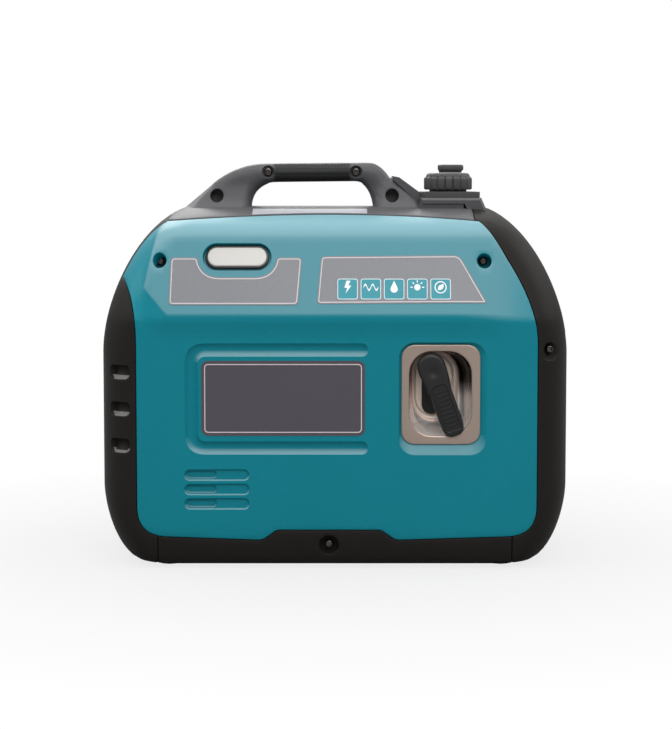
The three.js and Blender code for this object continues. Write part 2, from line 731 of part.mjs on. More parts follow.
function handleHalf(side) {
  const half = box(-far, far, touch / 2, far, 0, far);
  let grip = alongY(handleOutline(), -handleHalfWidth, handleHalfWidth, handleSoft, 5);
  grip = cut(grip, alongY(gapOutline(0), -far, far, 0, 4));
  const hollowShape = offsetOutline(handleOutline(), -wall - 2, 3);
  let hollow = alongY(hollowShape, -handleHalfWidth + wall + 1, handleHalfWidth - wall - 1);
  hollow = cut(hollow, alongY(gapOutline(wall + 1), -far, far, 0, 3), outerForm);
  const plinth = alongY(plinthOutline(0), -plinthHalfWidth, plinthHalfWidth);
  const bores = [];
  const bosses = [];
  for (const x of [handleScrewLeftX, handleScrewRightX]) {
    const z = handleTop - 11;
    bosses.push(turnedY(rod(handleScrewBore + 1.8, touch / 2, handleHalfWidth - 1), x, z, 10));
    const headSeat = handleHalfWidth - handleScrewDepth;
    if (side < 0) bores.push(turnedY(rod(handleScrewBore, headSeat, far), x, z, 12));
    const blind = side < 0 ? handleHalfWidth : handleHalfWidth - wall - 3;
    bores.push(turnedY(rod(screwShank + 0.4, -1, blind), x, z, 8));
  }
  for (const x of [drainLeftX, drainRightX]) {
    bosses.push(turnedY(rod(drainHole + wall, touch / 2, handleHalfWidth - 1), x, drainZ, 8));
    bores.push(turnedY(rod(drainHole, handleHalfWidth - drainDepth, far), x, drainZ, 12));
  }
  let part = join(cut(join(grip, plinth), innerForm), deckShell());
  part = cut(part, hollow);
  part = join(part, ...bosses.map((boss) => boss.intersect(join(grip, hollow))));
  part = cut(part, ...bores, turnedZ(rod(neckRadius + 3, 0, far), capX, 0, 18));
  part = part.intersect(half);
  return side < 0 ? part.mirror([0, 1, 0]) : part;
}

// ---- Filler surround ----
function fillerSurround() {
  const slope = (plinthTop - handleTop + 18) / (plinthLeft - handleBendRight);
  const onLeg = (x) => plinthTop + slope * (x - plinthLeft) + seam * 1.5;
  const tipX = handleBendRight + 3.5;
  const fin = polygon([[tipX, onLeg(tipX)], [tipX, onLeg(tipX) + 4], [tipX + 8, onLeg(tipX) + 2.5],
    [dripTrayLeft, platformHeight + 5], [dripTrayLeft + 8, platformHeight - 3],
    [plinthLeft + 3, plinthTop + seam], [plinthLeft + seam, plinthTop + seam]]);
  const body = polygon([[plinthLeft + 1, plinthTop - 20], [plinthLeft + 1, platformHeight],
    [dripTrayRight + 1, platformHeight], [dripTrayRight + 13, panelTop]]);
  const hollow = polygon([[plinthLeft + 1 + wall, plinthTop - 20],
    [plinthLeft + 1 + wall, platformHeight - wall], [dripTrayRight - wall, platformHeight - wall],
    [dripTrayRight + 8, panelTop]]);
  const plinth = alongY(offsetOutline(plinthOutline(0), seam), -far, far);
  const leg = alongY(offsetOutline(handleOutline(), seam), -handleHalfWidth - 1, handleHalfWidth + 1);
  let part = join(alongY(fin, -handleHalfWidth, handleHalfWidth),
    alongY(body, -plinthHalfWidth, plinthHalfWidth, 3));
  const seat = box(dripTrayLeft - touch, dripTrayRight + 5, -far, far, platformHeight, far);
  part = cut(part, alongY(hollow, -plinthHalfWidth + wall, plinthHalfWidth - wall), plinth, leg, seat);
  const rimTop = turnedZ(tube(neckRadius + 1, neckRadius + 4, plinthTop + 1, platformHeight - 1),
    capX, 0, 18);
  part = join(part, rimTop);
  return cut(part, casing(touch), turnedZ(rod(neckRadius + 1, 0, far), capX, 0, 18));
}

function dripTray() {
  const plate = alongZ(roundedRectangle(dripTrayLeft, dripTrayRight, -plinthHalfWidth + 5,
    plinthHalfWidth - 5, 8), platformHeight + touch, dripTrayHeight);
  const dip = turnedZ(tube(neckRadius + 2.5, capRadius + 4, dripTrayHeight - 2, dripTrayHeight + 5),
    capX, 0, 20);
  return cut(plate, dip, turnedZ(rod(neckRadius + 0.8, 0, far), capX, 0, 18));
}

// ---- Fuel cap ----
function fuelCap() {
  const outline = new THREE.Shape();
  const stations = capRibs * 3;
  for (let k = 0; k < stations; k += 1) {
    const angle = k / stations * 2 * Math.PI;
    const inGroove = k % 3 === 0;
    const radius = capRadius - (inGroove ? capRibDepth : 0);
    const x = capX + radius * Math.cos(angle);
    const y = radius * Math.sin(angle);
    if (k === 0) outline.moveTo(x, y);
    else outline.lineTo(x, y);
  }
  const skirt = alongZ(outline, capBase, capTop - 2.5);
  const crown = turnedZ([[0, capTop - 4], [capRadius - 1.6, capTop - 4], [capRadius - 1.6, capTop - 2.4],
    [capRadius - 4, capTop], [0, capTop]], capX, 0, 32);
  const inside = turnedZ(rod(neckRadius + 1.4, capBase - 1, neckTop + 4.2), capX, 0, 18);
  return cut(join(skirt, crown), inside);
}

function ventKnob() {
  const base = capTop + touch;
  const arm = new THREE.Shape();
  arm.absarc(capX, 0, 12.5, 0.5, 2 * Math.PI - 0.5);
  arm.lineTo(capX + ventArm, -5);
  arm.lineTo(capX + ventArm, 5);
  const high = softPolygon([[capX - 4, -5.5, 2], [capX + ventArm, -5, 1], [capX + ventArm, 5, 1],
    [capX - 4, 5.5, 2]]);
  return join(alongZ(arm, base, base + ventKnobHeight - 3), alongZ(high, base + 2, base + ventKnobHeight));
}

// ---- End covers ----
const ventPitch = 42.7;
const ventHeight = 18;
const ventTop = 238;
const ventRows = 3;
const ventCornerX = 240.8;
const ventDepth = 7;
const ventWindows = 5;
const ventWindowWidth = 26;

function coverRegion(side) {
  const whole = side < 0 ? box(-far, 0, -far, far, -far, far) : box(0, far, -far, far, -far, far);
  const panelCut = alongY(offsetOutline(panelOutline(), seam, 5), panelWrapDepth - seam, far);
  const tray = box(-traySplit - seam, traySplit + seam, -far, far, -far, panelBottom + 1 + seam);
  const deckEdge = side < 0 ? handleLeft - seam : deckRight + seam;
  const deck = box(side < 0 ? deckEdge : -far, side < 0 ? far : deckEdge, -far, far, slantEnd - seam, far);
  const inside = box(-traySplit - seam, traySplit + seam, -far, far, -far, slantStart);
  return cut(whole, panelCut, panelCut.mirror([0, 1, 0]), tray, deck, inside);
}

function ventSlab(row, grow) {
  const top = ventTop - row * ventPitch + grow;
  const bottom = top - ventHeight - 2 * grow;
  return alongY(polygon([[-far, top], [-ventCornerX + grow, top], [-ventCornerX + grow, bottom + 5],
    [-far, bottom]]), -far, far);
}

function leftEndCover() {
  let cover = shell.intersect(coverRegion(-1));
  const deep = casing(-ventDepth);
  const backing = innerForm.subtract(casing(-ventDepth - wall));
  const sides = cut(coverRegion(-1), box(-far, far, -far, far, -far, panelBottom + 10));
  for (let row = 0; row < ventRows; row += 1) {
    cover = join(cover, backing.intersect(ventSlab(row, wall)).intersect(sides));
    cover = cut(cover, ventSlab(row, 0).subtract(deep));
    const middle = ventTop - row * ventPitch - ventHeight / 2 + 1;
    for (let k = 0; k < ventWindows; k += 1) {
      const y = (k - (ventWindows - 1) / 2) * (ventWindowWidth + 5);
      const nearOutlet = Math.hypot(y - outletY, middle - outletZ) < outletRadius + 22;
      if (!nearOutlet) {
        cover = cut(cover, box(-far, -endHalfLength + ventDepth + 12, y - ventWindowWidth / 2,
          y + ventWindowWidth / 2, middle - 4, middle + 4));
      }
    }
  }
  const collarShape = tube(outletRadius + 4, outletRadius + 4 + wall, -endHalfLength - endBulge - 5,
    -endHalfLength + ventDepth + 6);
  const collar = turnedX(collarShape, outletY, outletZ, 18).intersect(outerForm);
  cover = join(cover, collar);
  return cut(cover, turnedX(rod(outletRadius + 4, -far, mufflerRight), outletY, outletZ, 18));
}

function controlOutline(grow) {
  return roundedRectangle(-controlHalfWidth - grow, controlHalfWidth + grow, controlBottom - grow,
    controlTop + grow, controlCorner + grow);
}

const intakeRows = 3;
const intakePitch = 12;

function rightEndCover() {
  let cover = shell.intersect(coverRegion(1));
  const collar = cut(alongX(controlOutline(wall), controlX + touch, far), alongX(controlOutline(0), 0, far));
  const back = endHalfLength + endBulge;
  cover = join(cover, collar.intersect(outerForm).intersect(box(0, back, -far, far, 0, far)));
  cover = cut(cover, alongX(controlOutline(0), controlX - wall - socketBack, far));
  for (let row = 0; row < intakeRows; row += 1) {
    const z = controlBottom - 16 - row * intakePitch;
    for (const y of [-50, 0, 50]) {
      const slot = softPolygon([[y - 22, z - 3, 2], [y + 22, z - 3, 2], [y + 22, z + 3, 2],
        [y - 22, z + 3, 2]]);
      cover = cut(cover, alongX(slot, controlX - socketBack, far, 0, 1));
    }
  }
  const pad = box(endScrewX - 12, endScrewX + 14, endScrewFloor - wall - 1, far,
    endScrewZ - 12, endScrewZ + 10);
  const dent = box(endScrewX - 9, far, endScrewFloor, far, endScrewZ - 9, endScrewZ + 7);
  const hole = turnedY(rod(screwShank + 0.4, 0, far), endScrewX, endScrewZ, 8);
  for (const side of [-1, 1]) {
    const turn = (solid) => (side < 0 ? solid.mirror([0, 1, 0]) : solid);
    cover = join(cover, turn(pad.intersect(outerForm)).intersect(coverRegion(1)));
    cover = cut(cover, turn(dent), turn(hole));
  }
  return cover;
}

// ---- Screws: heads facing outwards ----
function screwY(x, z, seatY, side, length = screwLength) {
  const under = seatY + touch;
  const screw = turnedY([[0, under - length], [screwShank, under - length], [screwShank, under],
    [screwHead, under], [screwHead - 1, under + screwHeadHeight], [0, under + screwHeadHeight]], x, z, 8);
  return side < 0 ? screw.mirror([0, 1, 0]) : screw;
}

// ---- Control panel ----
function controlPanel() {
  const plate = alongX(controlOutline(wall), controlX - wall, controlX);
  const holes = [];
  for (const y of [socketLeftY, socketLeftY + socketPitch]) {
    holes.push(turnedX(rod(socketWell + wall, 0, far), y, socketZ, 18));
  }
  holes.push(turnedX(rod(dcWell + 2, 0, far), sideColumnY, dcZ, 14));
  holes.push(turnedX(rod(5, 0, far), knobY, knobZ, 10));
  holes.push(turnedX(rod(4.6, 0, far), sideColumnY, resetZ, 10));
  holes.push(turnedX(rod(3.4, 0, far), sideColumnY, terminalZ, 10));
  holes.push(box(0, far, -86, -22, knobZ - 15, knobZ + 15));
  holes.push(box(0, far, sideColumnY - 8, sideColumnY + 8, ecoZ - 6, ecoZ + 6));
  return cut(plate, ...holes);
}

function displayModule() {
  const body = box(controlX - 20, controlX + 1, -86 + touch, -22 - touch, knobZ - 15 + touch,
    knobZ + 15 - touch);
  const window = box(controlX - 0.5, far, -80, -28, knobZ - 10, knobZ + 10);
  return cut(body, window);
}

function acSocket(y) {
  const plate = alongX(roundedRectangle(y - socketPlate, y + socketPlate, socketZ - socketPlate,
    socketZ + socketPlate, 6), controlX + touch, controlX + touch + 3);
  const body = turnedX(rod(socketWell + wall - touch, controlX - socketBack, controlX + 1), y, socketZ, 18);
  const well = turnedX(rod(socketWell, controlX + 3 - socketWellDepth, far), y, socketZ, 18);
  const pins = [-9.5, 9.5].map((offset) =>
    turnedX(rod(2.6, controlX - 24, far), y + offset, socketZ, 8));
  return cut(join(plate, body), well, ...pins);
}

const lidHingeZ = socketZ + socketPlate + 3;
const lidHingeX = controlX + 3 + touch + lidThickness / 2;

function socketLid(y) {
  const face = controlX + 3 + 2 * touch;
  const plate = alongX(roundedRectangle(y - socketPlate + 1, y + socketPlate - 1,
    socketZ - socketPlate - 2, lidHingeZ, 6), face, face + lidThickness);
  const knuckle = turned(rod(lidThickness / 2 + 0.4, -18, 12), 8).rotateX(-Math.PI / 2);
  knuckle.translate(lidHingeX + touch, y, lidHingeZ);
  return join(plate, solidOf(knuckle));
}

function dcSocket() {
  const flange = turnedX(rod(dcWell + 4, controlX + touch, controlX + 2), sideColumnY, dcZ, 14);
  const body = turnedX(rod(dcWell + 2 - touch, controlX - 34, controlX + 1), sideColumnY, dcZ, 14);
  const well = turnedX(rod(dcWell, controlX - 28, far), sideColumnY, dcZ, 14);
  return cut(join(flange, body), well);
}

function dcCover() {
  const face = controlX + 2 + touch;
  const disc = turnedX(rod(dcWell + 4.5, face, face + 2.5), sideColumnY, dcZ, 14);
  const strap = box(face, face + 2.5, sideColumnY - 5, sideColumnY + 5, dcZ, dcZ + dcWell + 8);
  const plug = turnedX(rod(dcWell - 1.4, face - 4, face + 1), sideColumnY, dcZ, 12);
  return join(disc, strap, plug);
}

function engineSwitchKnob() {
  const base = controlX + touch;
  const skirt = turnedX([[0, base], [knobRadius, base], [knobRadius - 1.5, base + 4], [0, base + 4]],
    knobY, knobZ, 20);
  const shaft = turnedX(rod(4.6, controlX - 12, base + 1), knobY, knobZ, 10);
  const wing = alongX(roundedRectangle(knobY - 5, knobY + 5, knobZ - knobRadius + 1,
    knobZ + knobRadius - 1, 4), base + 3, base + 9.4, 1);
  return join(skirt, shaft, wing);
}

function ecoSwitch() {
  const half = 7.6;
  const rocker = new THREE.Shape();
  rocker.moveTo(controlX - 8, ecoZ - 5.4);
  rocker.lineTo(controlX + 2.4, ecoZ - 5.4);
  rocker.lineTo(controlX + 0.8, ecoZ);
  rocker.lineTo(controlX + 0.2, ecoZ + 5.4);
  rocker.lineTo(controlX - 8, ecoZ + 5.4);
  return alongY(rocker, sideColumnY - half, sideColumnY + half);
}

function resetButton() {
  return turnedX([[0, controlX - 10], [4.3, controlX - 10], [4.3, controlX + 3.4], [3, controlX + 4.4],
    [0, controlX + 4.4]], sideColumnY, resetZ, 14);
}

function groundTerminal() {
  const base = controlX + touch;
  const nut = new THREE.Shape();
  for (let k = 0; k < 6; k += 1) {
    const angle = k * Math.PI / 3;
    const point = [sideColumnY + 6.5 * Math.cos(angle), terminalZ + 6.5 * Math.sin(angle)];
    if (k === 0) nut.moveTo(...point);
    else nut.lineTo(...point);
  }
  const stud = turnedX(rod(3, controlX - 14, base + 9), sideColumnY, terminalZ, 10);
  return join(stud, alongX(nut, base, base + 5));
}

// ---- Engine ----
function crankcase() {
  const shape = new THREE.Shape();
  const half = crankcaseRadius;
  shape.moveTo(-half - 16, engineBase);
  shape.lineTo(half + 16, engineBase);
  shape.lineTo(half + 16, engineBase + 8);
  shape.lineTo(half, engineBase + 10);
  shape.lineTo(half, crankHeight);
  shape.absarc(0, crankHeight, half, 0, Math.PI);
  shape.lineTo(-half, engineBase + 10);
  shape.lineTo(-half - 16, engineBase + 8);
  const block = alongX(shape, crankcaseLeft, crankcaseRight - 8, 0, 5);
  const flange = turnedX(rod(shroudRadius, crankcaseRight - 8, crankcaseRight), 0, crankHeight, 20);
  const bearing = turnedX(rod(14, crankcaseRight - 20, far), 0, crankHeight, 16);
  const dipstickHole = turnedY(rod(8, half - 22, far), -30, 84, 10).mirror([0, 1, 0]);
  return cut(join(block, flange), bearing, dipstickHole);
}

function dipstick() {
  const face = crankcaseRadius + touch;
  const profile = [[0, face - 20], [3, face - 20], [3, face - 12], [7.6, face - 12], [7.6, face],
    [14, face], [14, face + 8], [11, face + 11], [0, face + 11]];
  return turnedY(profile, -30, 84, 10).mirror([0, 1, 0]);
}

// The finned cylinder leans towards the back.
const tiltAngle = cylinderTilt * Math.PI / 180;

function onCylinder(along, across) {
  return [along * Math.cos(tiltAngle) - across * Math.sin(tiltAngle),
    crankHeight + along * Math.sin(tiltAngle) + across * Math.cos(tiltAngle)];
}

function cylinder() {
  const start = crankcaseRadius + touch;
  const fins = 6;
  const pitch = (cylinderLength - 24) / fins;
  const edge = [];
  for (let k = 0; k < fins; k += 1) {
    const at = start + 6 + k * pitch;
    edge.push([at, 25], [at, cylinderHalfWidth], [at + 3, cylinderHalfWidth], [at + 3, 25]);
  }
  const end = start + cylinderLength;
  edge.push([end - 18, 25], [end - 18, cylinderHalfWidth - 2], [end, cylinderHalfWidth - 6]);
  const profile = [[start, 25], ...edge];
  const outline = [...profile, ...profile.map(([a, b]) => [a, -b]).reverse()];
  const block = alongX(polygon(outline.map(([a, b]) => onCylinder(a, b))), crankcaseLeft + 14,
    crankcaseRight - 12);
  const crankRoom = turnedX(rod(crankcaseRadius + touch, -far, far), 0, crankHeight, 28);
  const plugHole = turnedY(rod(6, -1, 200), (crankcaseLeft + crankcaseRight) / 2, 0, 8);
  const tilted = plugHole.rotate([cylinderTilt, 0, 0]).translate([0, 0, crankHeight])
    .intersect(turnedX(rod(500, -far, far), 0, crankHeight, 8))
    .subtract(turnedX(rod(start + cylinderLength - 14, -far, far), 0, crankHeight, 28));
  return cut(block, crankRoom, tilted);
}

function sparkPlug() {
  const start = crankcaseRadius + touch + cylinderLength;
  const profile = [[0, start - 8], [5.4, start - 8], [5.4, start + touch], [9, start + touch],
    [9, start + 6], [6, start + 6], [5, start + 22], [2.5, start + 24], [2.5, start + 29], [0, start + 29]];
  return turnedY(profile, (crankcaseLeft + crankcaseRight) / 2, 0, 9)
    .rotate([cylinderTilt, 0, 0]).translate([0, 0, crankHeight]);
}

const portAlong = crankcaseRadius + cylinderLength - 18;
const [portY, portZ] = onCylinder(portAlong, 0);

function carburettor() {
  const from = crankcaseRight - 12 + touch;
  const throat = turnedX(tube(8, 15, from, from + 44), portY, portZ, 10);
  const bowl = turnedZ(rod(13, portZ - 27, portZ - 9), from + 22, portY + 2, 8);
  const choke = turnedX(rod(8, from - 1, from + 60), portY, portZ, 10);
  const flange = alongX(roundedRectangle(portY - 18, portY + 22, portZ - 15, portZ + 15, 10), from, from + 5);
  return cut(join(throat, bowl, flange), choke);
}

function airFilterBox() {
  const from = crankcaseRight - 12 + 2 * touch + 44;
  const body = alongX(roundedRectangle(portY - 12, portY + 46, portZ - 20, portZ + 30, 9), from,
    from + 80, 3);
  return cut(body, turnedX(rod(8, from - 1, from + 40), portY, portZ, 10));
}

function muffler() {
  const body = alongX(roundedRectangle(-24, portY + 26, portZ - 110, portZ + 26, 18), mufflerLeft,
    mufflerRight, 4);
  const pipe = turnedX(rod(9, mufflerRight - 6, crankcaseLeft + 14 - touch), portY, portZ, 10);
  const flange = alongX(roundedRectangle(portY - 20, portY + 20, portZ - 12, portZ + 12, 8),
    crankcaseLeft + 14 - touch - 5, crankcaseLeft + 14 - touch);
  const legs = [-10, portY].map((y) => box(mufflerRight - 30, mufflerRight - 26, y - 10, y + 10,
    floorTop + touch, portZ - 100));
  const outlet = turnedX(rod(outletRadius - 5, -far, mufflerLeft + 20), outletY, outletZ, 12);
  return cut(join(body, pipe, flange, ...legs), outlet);
}

function mufflerOutlet() {
  const from = mufflerLeft - touch;
  const tip = -endHalfLength - endBulge + 3;
  const pipe = turnedX(tube(outletRadius - 4, outletRadius - 1, tip, from), outletY, outletZ, 14);
  const flange = turnedX(tube(outletRadius - 4, outletRadius + 2, from - 3, from), outletY, outletZ, 14);
  return join(pipe, flange);
}

// ---- Generator on the crankshaft ----
const bellLeft = crankcaseRight + 12;
const bellRight = bellLeft + 46;
const fanRight = bellRight + 18;

function rotor() {
  const bell = turnedX([[0, crankcaseRight - 18], [12.6, crankcaseRight - 18], [12.6, bellRight - 5],
    [rotorRadius - 8, bellRight - 5], [rotorRadius - 8, bellLeft], [rotorRadius, bellLeft],
    [rotorRadius, bellRight], [22, bellRight], [22, fanRight + 5], [0, fanRight + 5]], 0, crankHeight, 20);
  const blades = [];
  for (let k = 0; k < 9; k += 1) {
    const blade = new THREE.BoxGeometry(fanRight - bellRight + 1, rotorRadius - 28, 2);
    blade.translate((fanRight + bellRight - 1) / 2, (rotorRadius + 28) / 2, 0);
    blade.rotateX(k * Math.PI / 4.5).translate(0, 0, crankHeight);
    blades.push(solidOf(blade));
  }
  return join(bell, ...blades);
}

function stator() {
  const teeth = 9;
  const outline = new THREE.Shape();
  for (let k = 0; k < teeth; k += 1) {
    const at = (angle, radius) => [radius * Math.cos(angle), crankHeight + radius * Math.sin(angle)];
    const step = 2 * Math.PI / teeth;
    const start = k * step;
    const points = [at(start, 38), at(start + 0.1 * step, 38), at(start + 0.14 * step, rotorRadius - 10),
      at(start + 0.5 * step, rotorRadius - 9.5), at(start + 0.86 * step, rotorRadius - 10),
      at(start + 0.9 * step, 38)];
    points.forEach((point, index) => {
      if (k === 0 && index === 0) outline.moveTo(...point);
      else outline.lineTo(...point);
    });
  }
  const core = alongX(outline, bellLeft + 4, bellRight - 9);
  const hub = turnedX(rod(28, crankcaseRight + touch, bellRight - 9), 0, crankHeight, 12);
  return cut(join(core, hub), turnedX(rod(14, -far, far), 0, crankHeight, 14));
}

const pulleyHalf = 7;
const recoilEnd = pulleyX + pulleyHalf + 6;

function recoilHousing() {
  const cup = turnedX([[shroudRadius - wall, crankcaseRight + touch], [shroudRadius, crankcaseRight + touch],
    [shroudRadius, recoilEnd - 8], [shroudRadius - 8, recoilEnd], [0, recoilEnd],
    [0, pulleyX - pulleyHalf - 3], [8, pulleyX - pulleyHalf - 3], [8, recoilEnd - wall],
    [shroudRadius - 9, recoilEnd - wall], [shroudRadius - wall, recoilEnd - 9],
    [shroudRadius - wall, crankcaseRight + touch]], 0, crankHeight, 20);
  const ropeSlot = box(pulleyX - 7, pulleyX + 7, -far, -20, ropeZ - 7, ropeZ + 7);
  const vents = [];
  for (let k = 0; k < 6; k += 1) {
    const angle = (k + 0.5) * Math.PI / 3;
    vents.push(turnedX(rod(9, recoilEnd - 12, recoilEnd + 1), 66 * Math.cos(angle),
      crankHeight + 66 * Math.sin(angle), 8));
  }
  return cut(cup, ropeSlot, ...vents);
}

function recoilPulley() {
  const left = pulleyX - pulleyHalf;
  const right = pulleyX + pulleyHalf;
  const rim = pulleyRadius + 7;
  return turnedX([[8.3, left], [rim, left], [rim, left + 2.5], [pulleyRadius - touch, left + 2.5],
    [pulleyRadius - touch, right - 2.5], [rim, right - 2.5], [rim, right], [8.3, right], [8.3, left]],
  0, crankHeight, 20);
}

function starterRope() {
  return turnedY(rod(ropeRadius, -2, gripFace - 9.5), pulleyX, ropeZ, 8).mirror([0, 1, 0]);
}

// ---- Frame, rubber rails, tank, inverter ----
function innerFrame() {
  const band = polygon([[frameLeft, floorTop + touch], [frameLeft, frameHeight + wall],
    [frameRight + wall, frameHeight + wall], [frameRight + wall, floorTop + touch],
    [frameRight, floorTop + touch], [frameRight, frameHeight], [frameLeft + wall, frameHeight],
    [frameLeft + wall, floorTop + touch]]);
  const sheetMetal = alongY(band, -frameHalfWidth, frameHalfWidth);
  const legWindow = alongX(roundedRectangle(-frameHalfWidth + 11, frameHalfWidth - 11, 40,
    frameHeight - 24, 12), -far, far);
  const topWindow = alongZ(roundedRectangle(frameLeft + 40, frameRight - 40, -frameHalfWidth + 35,
    frameHalfWidth - 35, 12), frameHeight - 5, far);
  return cut(sheetMetal, legWindow, topWindow);
}

function rubberCradle() {
  const inner = crankcaseRadius - 6;
  const outer = crankcaseRadius + 14;
  const left = crankcaseLeft + 6;
  const right = crankcaseRight - 18;
  const block = box(left, right, -outer, outer, floorTop + touch, engineBase - touch);
  return cut(block, box(left - 1, right + 1, -inner, inner, floorTop + 8, engineBase),
    box(left + 10, right - 10, -inner, inner, 0, engineBase));
}

function fuelTank() {
  const bottom = frameHeight + wall + touch;
  const body = alongZ(roundedRectangle(tankLeft, tankRight, -tankHalfDepth, tankHalfDepth, 24),
    bottom, tankTop, 8, 1);
  const hollow = alongZ(roundedRectangle(tankLeft + wall, tankRight - wall, -tankHalfDepth + wall,
    tankHalfDepth - wall, 21), bottom + wall, tankTop - wall, 6, 1);
  const neck = turnedZ(rod(neckRadius, tankTop - 2, neckTop), capX, 0, 18);
  return cut(join(body, neck), hollow, turnedZ(rod(neckRadius - wall, tankTop - 10, far), capX, 0, 18));
}

function fuelStrainer() {
  const outer = neckRadius - wall - 0.6;
  const inner = outer - 1.4;
  const rim = neckTop + touch;
  return turnedZ([[0, tankTop - 16], [outer, tankTop - 16], [outer, rim], [neckRadius - 0.3, rim],
    [neckRadius - 0.3, rim + 1], [inner, rim + 1], [inner, tankTop - 14], [0, tankTop - 14]], capX, 0, 14);
}

function capGasket() {
  const from = neckTop + 2 * touch + 1;
  return turnedZ(tube(neckRadius - 5, neckRadius + 0.6, from, neckTop + 4.2 - touch), capX, 0, 14);
}

function inverterModule() {
  const left = frameRight + wall + touch;
  const fins = 10;
  const half = 88;
  const pitch = 2 * half / fins;
  const points = [[left, -half], [left + 10, -half]];
  for (let k = 0; k < fins; k += 1) {
    const y = -half + k * pitch;
    points.push([left + 10, y + 5], [left + 30, y + 5], [left + 30, y + 9], [left + 10, y + 9]);
  }
  points.push([left + 10, half], [left, half]);
  return alongZ(polygon(points), floorTop + touch, floorTop + 230);
}

function frontBadge() {
  const base = badgeBase + touch;
  return alongY(badgeOutline(0), base, base + badgeDepth, 1.2).mirror([0, 1, 0]);
}

// ---- Materials ----
function finish(color, roughness, metalness = 0) {
  return () => new THREE.MeshStandardMaterial({ color, roughness, metalness });
}

const tealPlastic = finish(0x12788a, 0.5);
const blackPlastic = finish(0x24211e, 0.6);
const greyPlastic = finish(0x4a4a4c, 0.5);
const rubber = finish(0x1c1c1c, 0.85);
const blackSteel = finish(0x1e1e20, 0.4, 0.8);
const polishedSteel = finish(0xb0a69c, 0.22, 1);
const castAluminium = finish(0xa8aaac, 0.5, 0.9);
const tankSteel = finish(0x2a2b2d, 0.45, 0.6);
const copper = finish(0xb0693a, 0.35, 0.9);
const rope = finish(0x3a3834, 0.9);
const redPlastic = finish(0xb3231c, 0.45);
const clearCover = finish(0x181c20, 0.15);

const group = new THREE.Group();

function place(name, solid, material) {
  const mesh = new THREE.Mesh(geometryOf(solid), material());
  mesh.name = name;
  group.add(mesh);
}

place('bottom_tray', bottomTray(), blackPlastic);
place('front_panel', sidePanel(true), tealPlastic);
place('rear_panel', sidePanel(false), tealPlastic);
place('left_end_cover', leftEndCover(), blackPlastic);
place('right_end_cover', rightEndCover(), blackPlastic);
place('handle_front_half', handleHalf(-1), blackPlastic);
place('handle_rear_half', handleHalf(1), blackPlastic);
place('filler_surround', fillerSurround(), blackPlastic);
place('filler_drip_tray', dripTray(), rubber);
place('front_badge', frontBadge(), polishedSteel);
place('starter_bezel', starterBezel(), polishedSteel);
place('starter_guide', starterGuide(), rubber);
place('starter_grip', starterGrip(), rubber);
place('starter_rope', starterRope(), rope);
place('recoil_pulley', recoilPulley(), greyPlastic);
place('recoil_housing', recoilHousing(), blackSteel);
place('rotor', rotor(), castAluminium);
place('stator', stator(), copper);
place('crankcase', crankcase(), castAluminium);
place('cylinder', cylinder(), castAluminium);
place('spark_plug', sparkPlug(), castAluminium);
place('oil_dipstick', dipstick(), redPlastic);
place('carburettor', carburettor(), castAluminium);
place('air_filter_box', airFilterBox(), blackPlastic);
place('muffler', muffler(), blackSteel);
place('muffler_outlet', mufflerOutlet(), blackSteel);
place('engine_mount', rubberCradle(), rubber);
place('inner_frame', innerFrame(), blackSteel);
place('fuel_tank', fuelTank(), tankSteel);
place('fuel_strainer', fuelStrainer(), greyPlastic);
place('inverter_module', inverterModule(), castAluminium);
place('cap_gasket', capGasket(), rubber);
place('fuel_cap', fuelCap(), blackPlastic);
place('vent_knob', ventKnob(), blackPlastic);
place('control_panel', controlPanel(), greyPlastic);
place('display_module', displayModule(), clearCover);
place('dc_socket', dcSocket(), blackPlastic);
place('dc_cover', dcCover(), rubber);
place('engine_switch_knob', engineSwitchKnob(), blackPlastic);
place('eco_switch', ecoSwitch(), blackPlastic);
place('reset_button', resetButton(), redPlastic);
place('ground_terminal', groundTerminal(), polishedSteel);
[0, 1].forEach((k) => {
  const y = socketLeftY + k * socketPitch;
  place(`ac_socket_${k + 1}`, acSocket(y), blackPlastic);
  place(`socket_lid_${k + 1}`, socketLid(y), blackPlastic);
});
for (const [sideName, side] of [['front', -1], ['rear', 1]]) {
  for (const [endName, end] of [['left', -1], ['right', 1]]) {
    place(`foot_${sideName}_${endName}`, foot(end * footX, side * footY), rubber);
    const x = end < 0 ? panelScrewLeftX : panelScrewRightX;
    place(`panel_screw_${sideName}_${endName}`, screwY(x, panelScrewZ, panelScrewFloor, side), blackSteel);
  }
  place(`tray_screw_${sideName}`, screwY(trayScrewX, trayScrewZ, trayScrewFloor, side), blackSteel);
  place(`end_screw_${sideName}`, screwY(endScrewX, endScrewZ, endScrewFloor, side), blackSteel);
}
for (const [name, x] of [['left', handleScrewLeftX], ['right', handleScrewRightX]]) {
  const length = 2 * (handleHalfWidth - handleScrewDepth);
  place(`handle_screw_${name}`, screwY(x, handleTop - 11, handleHalfWidth - handleScrewDepth, -1, length),
    blackSteel);
}

export default group;
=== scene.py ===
# %% [markdown]
# # A portable inverter generator in its moulded carrying case
# The real object is a closed machine of about 3 kW. Two teal side panels, two black end covers and
# a black tray are injection moulded shells that meet in thin joints round the engine. This lesson
# dresses a imported CAD model of it. The model gives every place and size, so the first step loads
# it and keeps its box.

# %% Load the frame
import json
import math
import bmesh
import bpy
import numpy as np
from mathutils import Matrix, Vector
from mathutils.geometry import delaunay_2d_cdt


